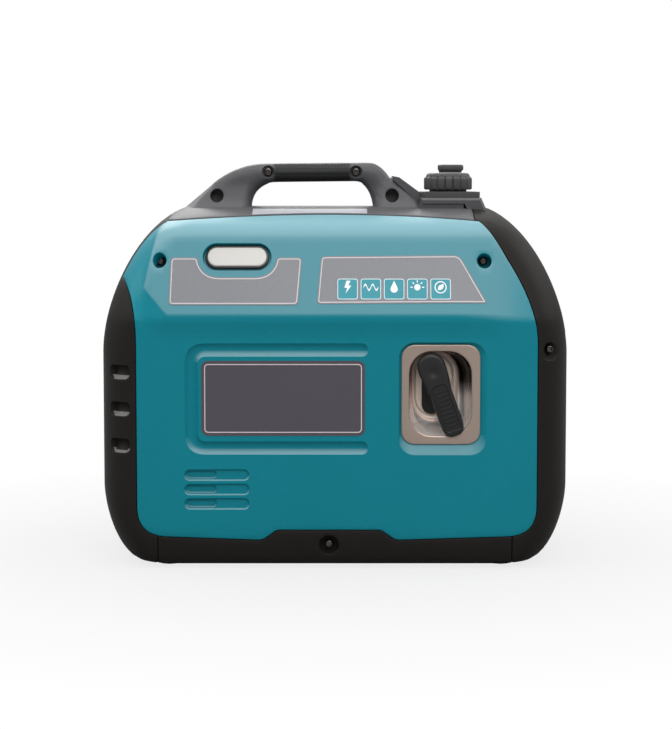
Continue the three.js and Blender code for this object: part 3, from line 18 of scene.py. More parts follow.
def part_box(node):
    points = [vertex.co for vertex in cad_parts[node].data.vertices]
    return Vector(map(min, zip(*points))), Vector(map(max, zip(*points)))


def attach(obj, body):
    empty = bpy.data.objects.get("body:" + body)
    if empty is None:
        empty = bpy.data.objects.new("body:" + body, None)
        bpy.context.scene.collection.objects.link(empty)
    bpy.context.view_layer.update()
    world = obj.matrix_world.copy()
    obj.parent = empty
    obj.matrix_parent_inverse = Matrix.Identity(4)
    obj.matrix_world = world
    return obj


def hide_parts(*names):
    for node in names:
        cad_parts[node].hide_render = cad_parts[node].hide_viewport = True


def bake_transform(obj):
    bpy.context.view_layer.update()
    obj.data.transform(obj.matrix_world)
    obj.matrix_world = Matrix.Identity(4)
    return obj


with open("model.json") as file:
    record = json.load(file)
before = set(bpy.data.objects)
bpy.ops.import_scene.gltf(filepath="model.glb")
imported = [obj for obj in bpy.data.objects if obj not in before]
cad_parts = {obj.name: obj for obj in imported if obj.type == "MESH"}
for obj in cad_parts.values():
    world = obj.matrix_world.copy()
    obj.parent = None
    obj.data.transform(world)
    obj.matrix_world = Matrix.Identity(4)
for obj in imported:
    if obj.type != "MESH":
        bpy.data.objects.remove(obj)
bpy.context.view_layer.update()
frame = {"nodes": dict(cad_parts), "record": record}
MM = 0.001

# %% [markdown]
# ## Camera
# A product picture is taken from well back with a long lens, so that edges stay parallel. The
# camera stands 2.65 m away, five degrees above the middle of the case, and looks straight at it.

# %% Set up the camera
CAMERA_DISTANCE = 2.65          # metres
CAMERA_RISE = math.radians(5)
LENS, SENSOR_WIDTH = 106.7, 36  # millimetres
AIM = Vector((0.0012, 0, 0.225))
camera = bpy.data.objects.new("camera", bpy.data.cameras.new("camera"))
bpy.context.scene.collection.objects.link(camera)
camera.data.lens, camera.data.sensor_width = LENS, SENSOR_WIDTH
camera.location = AIM + CAMERA_DISTANCE * Vector((0, -math.cos(CAMERA_RISE), math.sin(CAMERA_RISE)))
camera.rotation_euler = (AIM - camera.location).to_track_quat("-Z", "Y").to_euler()
bpy.context.scene.camera = camera
print("camera at", [round(v, 3) for v in camera.location])

# %% [markdown]
# ## Colour and nodes
# Colours are written as the hex values that a screen shows. Blender's shaders work in linear light,
# so one function turns the one into the other. A second one adds a shader node with its settings
# and its links, which keeps each material short enough to read in one go.

# %% Colour and node helpers
def linear(hex_value):
    channels = [int(hex_value[i:i + 2], 16) / 255 for i in (1, 3, 5)]
    return tuple(c / 12.92 if c <= 0.04045 else ((c + 0.055) / 1.055) ** 2.4 for c in channels) + (1,)


def add_node(tree, kind, settings=None, links=None):
    """Add a shader node. A setting names one of its inputs, by name or number, or a property. A
    link comes from a socket, or from a node's first output."""
    node = tree.nodes.new(kind)
    for name, value in (settings or {}).items():
        if isinstance(name, int) or name in node.inputs:
            node.inputs[name].default_value = value
        else:
            setattr(node, name, value)
    for name, source in (links or {}).items():
        socket = source.outputs[0] if isinstance(source, bpy.types.Node) else source
        tree.links.new(socket, node.inputs[name])
    return node


def new_material(name, settings):
    if name in bpy.data.materials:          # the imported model's own plain one
        bpy.data.materials[name].name = name + "_plain"
    material = bpy.data.materials.new(name)
    material.use_nodes = True
    tree = material.node_tree
    shader = tree.nodes["Principled BSDF"]
    for socket, value in settings.items():
        shader.inputs[socket].default_value = value
    return material, tree, shader


print("white is", linear("#ffffff")[:3])

# %% [markdown]
# ## Stage
# The case stands on a pale floor that runs into a white background. Camera, glass and metal see
# that white; the light itself is that of a studio with large softboxes. It comes from above and
# from all round, is dim near the horizon and leaves the floor's own bounce low, so that upright
# faces keep their full colour and everything that leans back or faces up is lighter.

# %% Light that surrounds the object
HORIZON_LEVEL, ZENITH_LEVEL = 0.12, 0.8
scene = bpy.context.scene
scene.view_settings.view_transform = "Standard"
world = bpy.data.worlds.new("light_tent")
world.use_nodes = True
scene.world = world
tree = world.node_tree
ray = add_node(tree, "ShaderNodeLightPath")
direction = add_node(tree, "ShaderNodeSeparateXYZ", {},
                     {"Vector": add_node(tree, "ShaderNodeTexCoord").outputs["Generated"]})
rise = add_node(tree, "ShaderNodeMapRange", {"interpolation_type": "SMOOTHSTEP", "From Min": 0.02,
                "From Max": 0.5}, {"Value": direction.outputs["Z"]})
level = add_node(tree, "ShaderNodeMapRange", {"To Min": HORIZON_LEVEL, "To Max": ZENITH_LEVEL},
                 {"Value": rise.outputs[0]})
tent = add_node(tree, "ShaderNodeBackground", {"Color": linear("#ffffff")}, {"Strength": level})
white = add_node(tree, "ShaderNodeBackground", {"Color": linear("#ffffff"), "Strength": 1.0})
direct = add_node(tree, "ShaderNodeMath", {"operation": "MAXIMUM"},
                  {0: ray.outputs["Is Camera Ray"], 1: ray.outputs["Is Transmission Ray"]})
mirrored = add_node(tree, "ShaderNodeMath", {"operation": "MULTIPLY"},
                    {0: ray.outputs["Is Glossy Ray"], 1: rise})
clear = add_node(tree, "ShaderNodeMath", {"operation": "MAXIMUM"}, {0: direct, 1: mirrored})
sky = add_node(tree, "ShaderNodeMixShader", {}, {0: clear, 1: tent, 2: white})
tree.links.new(sky.outputs[0], tree.nodes["World Output"].inputs["Surface"])
print("light from", HORIZON_LEVEL, "at the horizon to", ZENITH_LEVEL, "overhead")

# %% Floor
FLOOR_GLOW = 0.8                # share of plain white that the camera sees next to the object
FLOOR_REACH = 6                 # metres from the middle to each edge
floor_mesh = bpy.data.meshes.new("floor")
corners = [(a * FLOOR_REACH, b * FLOOR_REACH, 0) for a, b in ((-1, -1), (1, -1), (1, 1), (-1, 1))]
floor_mesh.from_pydata(corners, [], [(0, 1, 2, 3)])
floor = bpy.data.objects.new("floor", floor_mesh)
scene.collection.objects.link(floor)
paper, tree, shader = new_material("grey_paper", {"Base Color": linear("#9a9a9a"), "Roughness": 0.9,
                                                  "Specular IOR Level": 0.1})
ray = add_node(tree, "ShaderNodeLightPath")
glow = add_node(tree, "ShaderNodeEmission", {"Color": linear("#ffffff"), "Strength": 1.0})
place = add_node(tree, "ShaderNodeTexCoord")
far_off = add_node(tree, "ShaderNodeVectorMath", {"operation": "LENGTH"}, {0: place.outputs["Object"]})
fade = add_node(tree, "ShaderNodeMapRange", {"From Min": 0.25, "From Max": 0.8, "To Min": FLOOR_GLOW},
                {"Value": far_off.outputs["Value"]})
direct = add_node(tree, "ShaderNodeMath", {"operation": "MAXIMUM"},
                  {0: ray.outputs["Is Camera Ray"], 1: ray.outputs["Is Transmission Ray"]})
faded = add_node(tree, "ShaderNodeMath", {"operation": "MULTIPLY"}, {0: direct, 1: fade})
farther = add_node(tree, "ShaderNodeMapRange", {"From Min": 0.8, "From Max": 2.4, "To Max": 0.6},
                   {"Value": far_off.outputs["Value"]})
mirrored = add_node(tree, "ShaderNodeMath", {"operation": "MULTIPLY"},
                    {0: ray.outputs["Is Glossy Ray"], 1: farther})
clear = add_node(tree, "ShaderNodeMath", {"operation": "MAXIMUM"}, {0: faded, 1: mirrored})
surface = add_node(tree, "ShaderNodeMixShader", {}, {0: clear, 1: shader, 2: glow})
tree.links.new(surface.outputs[0], tree.nodes["Material Output"].inputs["Surface"])
floor_mesh.materials.append(paper)
print("floor ready")


# %% Lamps
def lamp(name, place, aim, size, power):
    data = bpy.data.lights.new(name, "AREA")
    data.shape = "RECTANGLE"
    data.size, data.size_y = size
    data.energy = power
    light = bpy.data.objects.new(name, data)
    light.location = place
    light.rotation_euler = (Vector(aim) - Vector(place)).to_track_quat("-Z", "Y").to_euler()
    scene.collection.objects.link(light)


lamp("overhead", (0, -0.3, 2.4), (0, 0, 0.3), (2.4, 1.4), 24)
SOFTBOX_REACH, SOFTBOX_RISE = 2.4, 1.9                # metres from the case, and above the floor
for word, turn, power in (("front", -78, 30), ("right", 12, 20), ("rear", 102, 30), ("left", 192, 20)):
    x = SOFTBOX_REACH * math.cos(math.radians(turn))
    y = SOFTBOX_REACH * math.sin(math.radians(turn))
    lamp("softbox_" + word, (x, y, SOFTBOX_RISE), (0, 0, 0.25), (1.8, 1.0), power)

# %% [markdown]
# ## The form of the case
# One lofted body is the master form that all outer shells are cut from: its length and its depth
# change with height, its four upright corners are quarter ellipses and its ends are slightly
# crowned. Writing the form as functions, in millimetres, means that any point of a shell can be
# put on it exactly, as fine as the eye needs, however coarse the CAD model is.

# %% Master form
END_BULGE = 7.0
end_low, end_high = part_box("right_end_cover")
END_HALF_LENGTH = round(end_high.x / MM - END_BULGE, 1)
SIDE_HALF_DEPTH = round(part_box("left_end_cover")[1].y / MM, 1)
FOOT_HEIGHT, CROWN_HEIGHT = round(end_low.z / MM, 1), round(end_high.z / MM, 1)
CORNER_LENGTH, CORNER_DEPTH = 40.0, 60.0
CORNER_GIRTH = 48.0             # unrolled millimetres for each radian round a corner
SLANT_START, SLANT_END = CROWN_HEIGHT - 129, CROWN_HEIGHT - 34
SEAM_BEND = CROWN_HEIGHT - 157    # where the seams of the side panels start to curve inwards
FLOOR_TURN, FLOOR_TURN_INSET = 90, 42         # height and inset of the ends' turn into the floor
SHOULDER, SHOULDER_INSET = 169, 110           # the same of their turn into the top
SIDE_ROLL, SIDE_ROLL_INSET = 46, 9            # and of the sides' turn into the floor
SLANT_INSET = 31                # how far the sides lean in at SLANT_END
END_POWER, ROLL_POWER, CROWN_POWER = 1.7, 2, 2.1        # of the turns; 2 is a quarter ellipse
SEAM = 0.6                      # joint between neighbouring shells
WALL = 3.0


def between(value, low, high):
    """Share of the way from low to high, held between 0 and 1."""
    return np.clip((np.asarray(value, float) - low) / (high - low), 0, 1)


def turn_in(t, power):
    """Share of a turn's inset at share t of its height."""
    return 1 - (1 - t ** power) ** (1 / power)


def half_length(z):
    """Half the form's length at height z, on the middle plane."""
    low = 1 - between(z, FOOT_HEIGHT, FOOT_HEIGHT + FLOOR_TURN)
    high = between(z, CROWN_HEIGHT - SHOULDER, CROWN_HEIGHT + 1)
    return (END_HALF_LENGTH - FLOOR_TURN_INSET * turn_in(low, END_POWER)
            - SHOULDER_INSET * turn_in(high, END_POWER))


def half_depth(z):
    """Half the form's depth at height z, on the flat of its sides."""
    low = 1 - between(z, FOOT_HEIGHT, FOOT_HEIGHT + SIDE_ROLL)
    lean = np.maximum(0, (np.asarray(z, float) - SLANT_START) / (SLANT_END - SLANT_START))
    crown = between(z, SLANT_END, CROWN_HEIGHT + 0.5)
    side = SIDE_HALF_DEPTH - SIDE_ROLL_INSET * turn_in(low, ROLL_POWER) - SLANT_INSET * lean
    return side * (1 - turn_in(crown, CROWN_POWER))


def end_depth(z):
    """Where an upright corner meets the end face."""
    return half_depth(z) * (1 - CORNER_DEPTH / SIDE_HALF_DEPTH)


def side_y(x, z):
    """Half-depth of the case at (x, z), corners included."""
    over = np.clip((np.abs(x) - half_length(z) + CORNER_LENGTH) / CORNER_LENGTH, 0, 1)
    return end_depth(z) + (half_depth(z) - end_depth(z)) * np.sqrt(1 - over ** 2)


def end_x(y, z):
    """Half-length of the case at (y, z), corners included; -1 outside it."""
    y = np.abs(y)
    flat = half_length(z) + END_BULGE * (1 - (y / end_depth(z)) ** 2)
    over = (y - end_depth(z)) / (half_depth(z) - end_depth(z))
    corner = half_length(z) - CORNER_LENGTH + CORNER_LENGTH * np.sqrt(1 - np.clip(over, 0, 1) ** 2)
    return np.where(over <= 0, flat, np.where(over <= 1, corner, -1.0))


HALVINGS = 40                   # of the search below, enough for any float


def solve_height(inside, low, high):
    """The height at which a test on z turns false, for arrays of low and high heights."""
    low, high = np.array(low, float), np.array(high, float)
    for _ in range(HALVINGS):
        middle = (low + high) / 2
        ok = inside(middle)
        low, high = np.where(ok, middle, low), np.where(ok, high, middle)
    return low


DECK_LOWEST = 330.0


def deck_height(x, y):
    """Height of the form's top over (x, y)."""
    x, y = np.broadcast_arrays(np.asarray(x, float), np.asarray(y, float))
    return solve_height(lambda z: np.abs(x) <= end_x(y, z),
                        np.full(x.shape, DECK_LOWEST), np.full(x.shape, CROWN_HEIGHT))


print("deck height over the middle", float(deck_height(0, 0)), "mm")

# %% [markdown]
# ## Unrolled shells
# A shell is easiest to draw flat. Its outline, its holes and the edges of its grooves lie in a
# plane whose first axis runs round the case and whose second is the height. The plane is filled
# with triangles by a constrained Delaunay triangulation, so each drawn edge is an edge of the mesh,
# and the triangles are then put on the form. Each outline gets a few rings of points just inside
# it, which carry the small rounding that every moulded edge has.

# %% Outline helpers
def quad_curve(a, control, b, count=10):
    """A quadratic curve from a to b, without a itself."""
    t = np.linspace(0, 1, count + 1)[1:, None]
    a, control, b = map(np.array, (a, control, b))
    return (1 - t) ** 2 * a + 2 * t * (1 - t) * control + t ** 2 * b


def soft_polygon(corners, count=6):
    """A polygon whose corners (a, b, radius) are rounded."""
    points = []
    for k, (a, b, radius) in enumerate(corners):
        here = np.array((a, b), float)
        last = np.array(corners[k - 1][:2], float) - here
        after = np.array(corners[(k + 1) % len(corners)][:2], float) - here
        start = here + last / np.linalg.norm(last) * radius
        stop = here + after / np.linalg.norm(after) * radius
        points.append(start)
        if radius > 0:
            points.extend(quad_curve(start, here, stop, count))
    return np.array(points)


def round_box(a0, a1, b0, b1, radius, count=8):
    """A rectangle with rounded corners."""
    radius = min(radius, (a1 - a0) / 2 - 0.01, (b1 - b0) / 2 - 0.01)
    points = []
    for ca, cb, start in ((a1 - radius, b0 + radius, -90), (a1 - radius, b1 - radius, 0),
                          (a0 + radius, b1 - radius, 90), (a0 + radius, b0 + radius, 180)):
        for k in range(count + 1):
            angle = math.radians(start + 90 * k / count)
            points.append((ca + radius * math.cos(angle), cb + radius * math.sin(angle)))
    return np.array(points)


def circle(a, b, radius, count=32):
    """A circle round (a, b)."""
    angle = np.arange(count) / count * 2 * math.pi
    return np.stack((a + radius * np.cos(angle), b + radius * np.sin(angle)), 1)


def area_of(loop):
    """Signed area of a closed loop, above zero where it runs anticlockwise."""
    after = np.roll(loop, -1, 0)
    return 0.5 * float(np.sum(loop[:, 0] * after[:, 1] - after[:, 0] * loop[:, 1]))


def resample(loop, step):
    """The closed loop with no stretch longer than step, turning anticlockwise."""
    if area_of(loop) < 0:
        loop = loop[::-1]
    points = []
    for a, b in zip(loop, np.roll(loop, -1, 0)):
        length = np.linalg.norm(b - a)
        if length < 1e-4:
            continue
        parts = max(1, int(math.ceil(length / step)))
        points.extend(a + (b - a) * k / parts for k in range(parts))
    return np.array(points)


DISTANCE_BLOCK, INSIDE_BLOCK = 2500, 5000     # points in one pass, so that the arrays stay small


def distance_to(points, loop):
    """Distance from each point to a closed loop."""
    a, b = loop, np.roll(loop, -1, 0)
    run = b - a
    size = np.maximum((run ** 2).sum(1), 1e-12)
    out = np.empty(len(points))
    for k in range(0, len(points), DISTANCE_BLOCK):
        offset = points[k:k + DISTANCE_BLOCK, None, :] - a[None]
        t = np.clip((offset * run[None]).sum(2) / size, 0, 1)
        gap = offset - t[..., None] * run[None]
        out[k:k + DISTANCE_BLOCK] = np.sqrt((gap ** 2).sum(2).min(1))
    return out


def inside_of(points, loop):
    """Which points lie inside a closed loop."""
    a, b = loop, np.roll(loop, -1, 0)
    out = np.empty(len(points), bool)
    rise = b[:, 1] - a[:, 1]
    rise = np.where(np.abs(rise) < 1e-12, 1e-12, rise)
    for k in range(0, len(points), INSIDE_BLOCK):
        p = points[k:k + INSIDE_BLOCK]
        spans = (a[None, :, 1] > p[:, None, 1]) != (b[None, :, 1] > p[:, None, 1])
        cross = a[None, :, 0] + (p[:, None, 1] - a[None, :, 1]) * (b - a)[None, :, 0] / rise[None]
        out[k:k + INSIDE_BLOCK] = (np.logical_and(spans, p[:, None, 0] < cross).sum(1) % 2) == 1
    return out


def signed_distance(points, loop):
    """Distance to a closed loop, positive inside it."""
    gap = distance_to(points, loop)
    return np.where(inside_of(points, loop), gap, -gap)


def offset_loop(loop, distance, step=3.0):
    """The loop moved inwards by distance (outwards if negative), without the parts that cross."""
    loop = resample(loop, step)
    before, after = np.roll(loop, 1, 0), np.roll(loop, -1, 0)
    run_in = (loop - before) / np.linalg.norm(loop - before, axis=1)[:, None]
    run_out = (after - loop) / np.linalg.norm(after - loop, axis=1)[:, None]
    normal = np.stack((-(run_in[:, 1] + run_out[:, 1]), run_in[:, 0] + run_out[:, 0]), 1)
    normal /= np.linalg.norm(normal, axis=1)[:, None]
    reach = distance / np.maximum(0.45, normal[:, 0] * -run_out[:, 1] + normal[:, 1] * run_out[:, 0])
    moved = loop + normal * reach[:, None]
    keep = distance_to(moved, loop) > abs(distance) * 0.985 - 1e-6
    return moved[keep]


print("helpers ready; a 10 mm circle has area", round(area_of(circle(0, 0, 5, 64)), 1))

# %% Shell builder
ROUND_STEPS = (0.12, 0.42, 1.0)


def edge_drop(distance, radius):
    """How far a rounded edge has fallen away at a distance from it."""
    t = np.clip(1 - distance / radius, 0, 1)
    return radius * (1 - np.sqrt(1 - t ** 2))


def triangulate(outline, holes, lines, scatter, clearance):
    """Triangles inside outline and outside holes, with every given loop as mesh edges."""
    loops = [outline] + list(holes) + list(lines)
    points = np.concatenate(loops)
    edges, start = [], 0
    for loop in loops:
        count = len(loop)
        edges.extend((start + k, start + (k + 1) % count) for k in range(count))
        start += count
    if len(scatter):
        keep = inside_of(scatter, outline)
        for hole in holes:
            keep &= ~inside_of(scatter, hole)
        scatter = scatter[keep]
        for loop in loops:
            scatter = scatter[distance_to(scatter, loop) > clearance]
        points = np.concatenate((points, scatter))
    flat, _, faces, _, _, _ = delaunay_2d_cdt([Vector(p) for p in points], edges, [], 0, 1e-5)
    flat = np.array([tuple(p) for p in flat])
    faces = np.array([f for f in faces if len(f) == 3])
    middle = flat[faces].mean(1)
    keep = inside_of(middle, outline)
    for hole in holes:
        keep &= ~inside_of(middle, hole)
    faces = faces[keep]
    a, b, c = (flat[faces[:, k]] for k in range(3))
    turn = (b[:, 0] - a[:, 0]) * (c[:, 1] - a[:, 1]) - (b[:, 1] - a[:, 1]) * (c[:, 0] - a[:, 0])
    faces = faces[np.abs(turn) > 1e-9]
    turn = turn[np.abs(turn) > 1e-9]
    faces[turn < 0] = faces[turn < 0][:, ::-1]
    used = np.unique(faces)
    renumber = np.full(len(flat), -1)
    renumber[used] = np.arange(len(used))
    return flat[used], renumber[faces]


def closed_skin(outer, inner, faces):
    """A closed mesh from an outer and an inner sheet with the same triangles."""
    count = len(outer)
    directed = np.concatenate((faces[:, [0, 1]], faces[:, [1, 2]], faces[:, [2, 0]]))
    keys = directed[:, 0] * count + directed[:, 1]
    back = directed[:, 1] * count + directed[:, 0]
    rim = directed[~np.isin(keys, back)]
    walls = np.concatenate((
        np.stack((rim[:, 1], rim[:, 0], rim[:, 0] + count), 1),
        np.stack((rim[:, 1], rim[:, 0] + count, rim[:, 1] + count), 1)))
    return np.concatenate((outer, inner)), np.concatenate((faces, faces[:, ::-1] + count, walls))


def grid(a0, a1, b0, b1, step_a, step_b):
    """Rows of points over a rectangle, every second row shifted."""
    rows = np.arange(b0, b1, step_b)
    points = []
    for k, b in enumerate(rows):
        shift = 0.5 * step_a * (k % 2)
        points.append(np.stack((np.arange(a0 + shift, a1, step_a),
                                np.full(len(np.arange(a0 + shift, a1, step_a)), b)), 1))
    return np.concatenate(points)


def mesh_object(name, points, faces, material, smooth=40):
    """A Blender object from points in millimetres."""
    mesh = bpy.data.meshes.new(name)
    mesh.from_pydata((np.asarray(points) * MM).tolist(), [], np.asarray(faces).tolist()
                     if isinstance(faces, np.ndarray) else [list(f) for f in faces])
    mesh.validate()
    mesh.shade_smooth()
    mesh.set_sharp_from_angle(angle=math.radians(smooth))
    mesh.materials.append(material)
    piece = bpy.data.objects.new(name, mesh)
    scene.collection.objects.link(piece)
    return piece


def shell_piece(name, material, place, outline, holes=(), lines=(), spacing=(5, 5), radius=1.2,
                depth=None, wall=WALL, inner=None, hole_wall=None, scatter=None, step=3.0,
                outward=1, hole_radius=None, islands=()):
    """A moulded shell: place(a, b) puts flat points on the form and gives their outward normals."""
    outline = resample(outline, step)
    holes = [resample(h, step) for h in holes]
    rings = list(lines)
    hole_radius = radius if hole_radius is None else hole_radius
    for share in ROUND_STEPS:
        if radius > 0:
            rings.append(offset_loop(outline, radius * share, step))
        if hole_radius > 0:
            rings.extend(offset_loop(h, -hole_radius * share, step) for h in holes)
    low, high = outline.min(0), outline.max(0)
    if scatter is None:
        scatter = grid(low[0], high[0], low[1], high[1], *spacing)
    flat, faces = triangulate(outline, holes, rings, scatter, 0.45 * min(spacing))
    points, normals = place(flat[:, 0], flat[:, 1])
    drop = np.zeros(len(flat)) if depth is None else depth(flat)
    if radius > 0:
        drop = drop + edge_drop(distance_to(flat, outline), radius)
    thick = np.full(len(flat), float(wall))
    for hole in holes:
        gap = distance_to(flat, hole)
        if hole_radius > 0:
            drop = drop + edge_drop(gap, hole_radius)
        if hole_wall:
            thick = np.where(gap < 0.05, hole_wall, thick)
    outer = points - normals * drop[:, None]
    under = points - normals * (drop + thick)[:, None] if inner is None else inner(flat)
    if outward < 0:
        faces = faces[:, ::-1]
    return mesh_object(name, *join_parts([closed_skin(outer, under, faces), *islands]), material)


def join_parts(parts):
    """Several closed bodies, each as points and faces, in one mesh."""
    points, faces, start = [], [], 0
    for part_points, part_faces in parts:
        points.append(part_points)
        faces.append(part_faces + start)
        start += len(part_points)
    return np.concatenate(points), np.concatenate(faces)


def plate(outline, low, high, to_space, turned=False):
    """A flat plate between two levels; to_space(a, b, level) gives its points."""
    flat, faces = triangulate(resample(outline, 8), [], [], np.empty((0, 2)), 1)
    if turned:
        faces = faces[:, ::-1]
    near, far = (to_space(flat[:, 0], flat[:, 1], np.full(len(flat), level)) for level in (high, low))
    return closed_skin(near, far, faces)


def floor_plate(outline):
    return plate(outline, FOOT_HEIGHT, FOOT_HEIGHT + WALL, lambda a, b, c: np.stack((a, b, c), 1))


def bore_seat(x, z, radius, depth, side):
    """The disc at the bottom of a screw's bore; depth is its distance from the middle plane."""
    return plate(circle(x, z, radius), depth - 1.5, depth,
                 lambda a, b, c: np.stack((a, side * c, b), 1), side > 0)


print("shell builder ready")

# %% Dressing
# Finishes that have no slot of their own are listed under the nearest one that has.
body_of_node = {node: body for body, nodes in frame["record"]["behaviour"]["bodies"].items()
                for node in nodes}


def dress(piece, *nodes, body="casing", slot=None):
    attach(piece, body_of_node[nodes[0]] if nodes else body)
    if nodes:
        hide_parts(*nodes)
    return piece


def vertex_normals(points, faces):
    """Unit normals at the points, from the faces round each."""
    normals = np.zeros_like(points)
    a, b, c = (points[faces[:, k]] for k in range(3))
    turn = np.cross(b - a, c - a)
    for k in range(3):
        np.add.at(normals, faces[:, k], turn)
    return normals / np.maximum(np.linalg.norm(normals, axis=1), 1e-12)[:, None]


def ring_faces(rings, count):
    """Triangles between rings of count points each."""
    faces = []
    for level in range(rings - 1):
        for k in range(count):
            a, b = level * count + k, level * count + (k + 1) % count
            faces += [(a, b, b + count), (a, b + count, a + count)]
    return np.array(faces)


def loft_sheet(rings, thickness):
    """A closed sheet of even thickness behind rings of points."""
    points = np.concatenate(rings)
    faces = ring_faces(len(rings), len(rings[0]))
    return closed_skin(points, points - vertex_normals(points, faces) * thickness, faces)


def loft_solid(rings):
    """A closed body from rings of points, with its ends filled by fans."""
    count = len(rings[0])
    points = np.concatenate((*rings, [rings[0].mean(0)], [rings[-1].mean(0)]))
    last = (len(rings) - 1) * count
    ends = [(k, len(points) - 2, (k + 1) % count) for k in range(count)]
    ends += [(last + (k + 1) % count, len(points) - 1, last + k) for k in range(count)]
    return points, np.concatenate((ring_faces(len(rings), count), ends))


def turned(profile, centre, axis="z", count=48, shape=None, sign=1):
    """A turned body. A profile is (radius, level) pairs; shape(angle, radius, level), where it is
    given, returns the radii all round a ring."""
    angle = np.arange(count) / count * 2 * math.pi
    rings = []
    for radius, level in profile:
        r = np.full(count, float(radius)) if shape is None else shape(angle, radius, level)
        a, b, c = r * np.cos(angle), r * np.sin(angle), np.full(count, float(level)) * sign
        order = {"z": (a, b, c), "y": (a, c, b), "x": (c, a, b)}[axis]
        rings.append(np.stack(order, 1) + centre)
    return loft_solid(rings)


def facing_out(piece):
    """Turn all faces outwards."""
    build = bmesh.new()
    build.from_mesh(piece.data)
    bmesh.ops.recalc_face_normals(build, faces=build.faces)
    build.to_mesh(piece.data)
    build.free()
    return piece


EDGE_STEPS, SHARP_ANGLE = 2, 30       # bevel steps, and the angle in degrees from which an edge is sharp


def softened(node, material, width):
    """A copy of a CAD node whose sharp edges are rounded, which stands for it."""
    build = bmesh.new()
    build.from_mesh(frame["nodes"][node].data)
    bmesh.ops.remove_doubles(build, verts=build.verts, dist=1e-6)
    bmesh.ops.dissolve_limit(build, angle_limit=math.radians(2), verts=build.verts, edges=build.edges)
    mesh = bpy.data.meshes.new(node + "_soft")
    build.to_mesh(mesh)
    build.free()
    mesh.materials.clear()
    mesh.materials.append(material)
    piece = bpy.data.objects.new(node + "_soft", mesh)
    scene.collection.objects.link(piece)
    bevel = piece.modifiers.new("bevel", "BEVEL")
    bevel.width, bevel.segments = width * MM, EDGE_STEPS
    bevel.limit_method, bevel.angle_limit = "ANGLE", math.radians(SHARP_ANGLE)
    mesh.shade_smooth()
    piece.modifiers.new("even", "WEIGHTED_NORMAL")
    view = bpy.context.evaluated_depsgraph_get()
    rounded = bpy.data.meshes.new_from_object(piece.evaluated_get(view))
    piece.modifiers.clear()
    piece.data = rounded
    return dress(piece, node)


# %% [markdown]
# ## Moulded plastics
# The case is ABS, injection moulded in steel moulds whose faces were spark eroded, which leaves a
# fine matt grain. On the real part the grain is about 0.3 mm wide, too fine to show here, so it is
# drawn at 1.2 mm, as bump and as a very small change of lightness. ABS has an IOR of about 1.54.
# The same recipe serves the teal, the black and the handle's glass filled nylon, which is a little
# greyer.

# %% Grained plastic
ABS_IOR = 1.54
GRAIN_WIDTH = 0.0012            # metres, coarser than the real 0.3 mm so that it shows


def moulded_plastic(name, colour, roughness, grain=0.25, scuff=None, width=GRAIN_WIDTH, flow=0.06,
                    gloss=0.3, top_highlight=None, top_highlight_share=0.24):
    """Spark grained plastic: grain, slow flow marks, edges that are worn a little paler, and a
    painted highlight: a pale mix on what leans back or faces up, for the light from above."""
    material, tree, shader = new_material(name, {"Roughness": roughness, "IOR": ABS_IOR,
                                                 "Specular IOR Level": gloss})
    place = add_node(tree, "ShaderNodeTexCoord")
    fine = add_node(tree, "ShaderNodeTexNoise", {"Scale": 1 / width, "Detail": 2.0, "Roughness": 0.6},
                    {"Vector": place.outputs["Object"]})
    slow = add_node(tree, "ShaderNodeTexNoise", {"Scale": 9.0, "Detail": 3.0},
                    {"Vector": place.outputs["Object"]})
    tone = add_node(tree, "ShaderNodeMapRange", {"To Min": 1 - 2 * flow, "To Max": 1 + 2 * flow},
                    {"Value": slow.outputs["Fac"]})
    speck = add_node(tree, "ShaderNodeMapRange", {"From Min": 0.3, "From Max": 0.7,
                     "To Min": 0.93, "To Max": 1.07}, {"Value": fine.outputs["Fac"]})
    both = add_node(tree, "ShaderNodeMath", {"operation": "MULTIPLY"})
    tree.links.new(tone.outputs[0], both.inputs[0])
    tree.links.new(speck.outputs[0], both.inputs[1])
    base = add_node(tree, "ShaderNodeVectorMath", {"operation": "SCALE", 0: linear(colour)[:3]},
                    {"Scale": both.outputs[0]})
    colour_out = base.outputs[0]
    shape = add_node(tree, "ShaderNodeNewGeometry")
    # Painted highlight: faces that lean back or face up are mixed towards a pale colour, for the light from
    # above.
    if top_highlight:
        upward = add_node(tree, "ShaderNodeSeparateXYZ", {}, {"Vector": shape.outputs["Normal"]})
        highlight_share = add_node(tree, "ShaderNodeMapRange", {"From Min": 0.05, "From Max": 0.55,
                         "To Max": top_highlight_share}, {"Value": upward.outputs["Z"]})
        highlighted_colour = add_node(tree, "ShaderNodeMix", {"data_type": "RGBA", "name": "top_highlight", 7: linear(top_highlight)},
                        {0: highlight_share.outputs[0], 6: colour_out})
        colour_out = highlighted_colour.outputs[2]
    if scuff:
        worn = add_node(tree, "ShaderNodeMapRange", {"From Min": 0.53, "From Max": 0.62,
                        "To Min": 0.0, "To Max": 0.5}, {"Value": shape.outputs["Pointiness"]})
        paler = add_node(tree, "ShaderNodeMix", {"data_type": "RGBA", 7: linear(scuff)},
                         {0: worn.outputs[0], 6: colour_out})
        colour_out = paler.outputs[2]
    tree.links.new(colour_out, shader.inputs["Base Color"])
    rough = add_node(tree, "ShaderNodeMapRange", {"To Min": roughness - 0.06,
                     "To Max": roughness + 0.08}, {"Value": slow.outputs["Fac"]})
    tree.links.new(rough.outputs[0], shader.inputs["Roughness"])
    bump = add_node(tree, "ShaderNodeBump", {"Strength": grain, "Distance": 0.0002},
                    {"Height": fine.outputs["Fac"]})
    tree.links.new(bump.outputs[0], shader.inputs["Normal"])
    return material
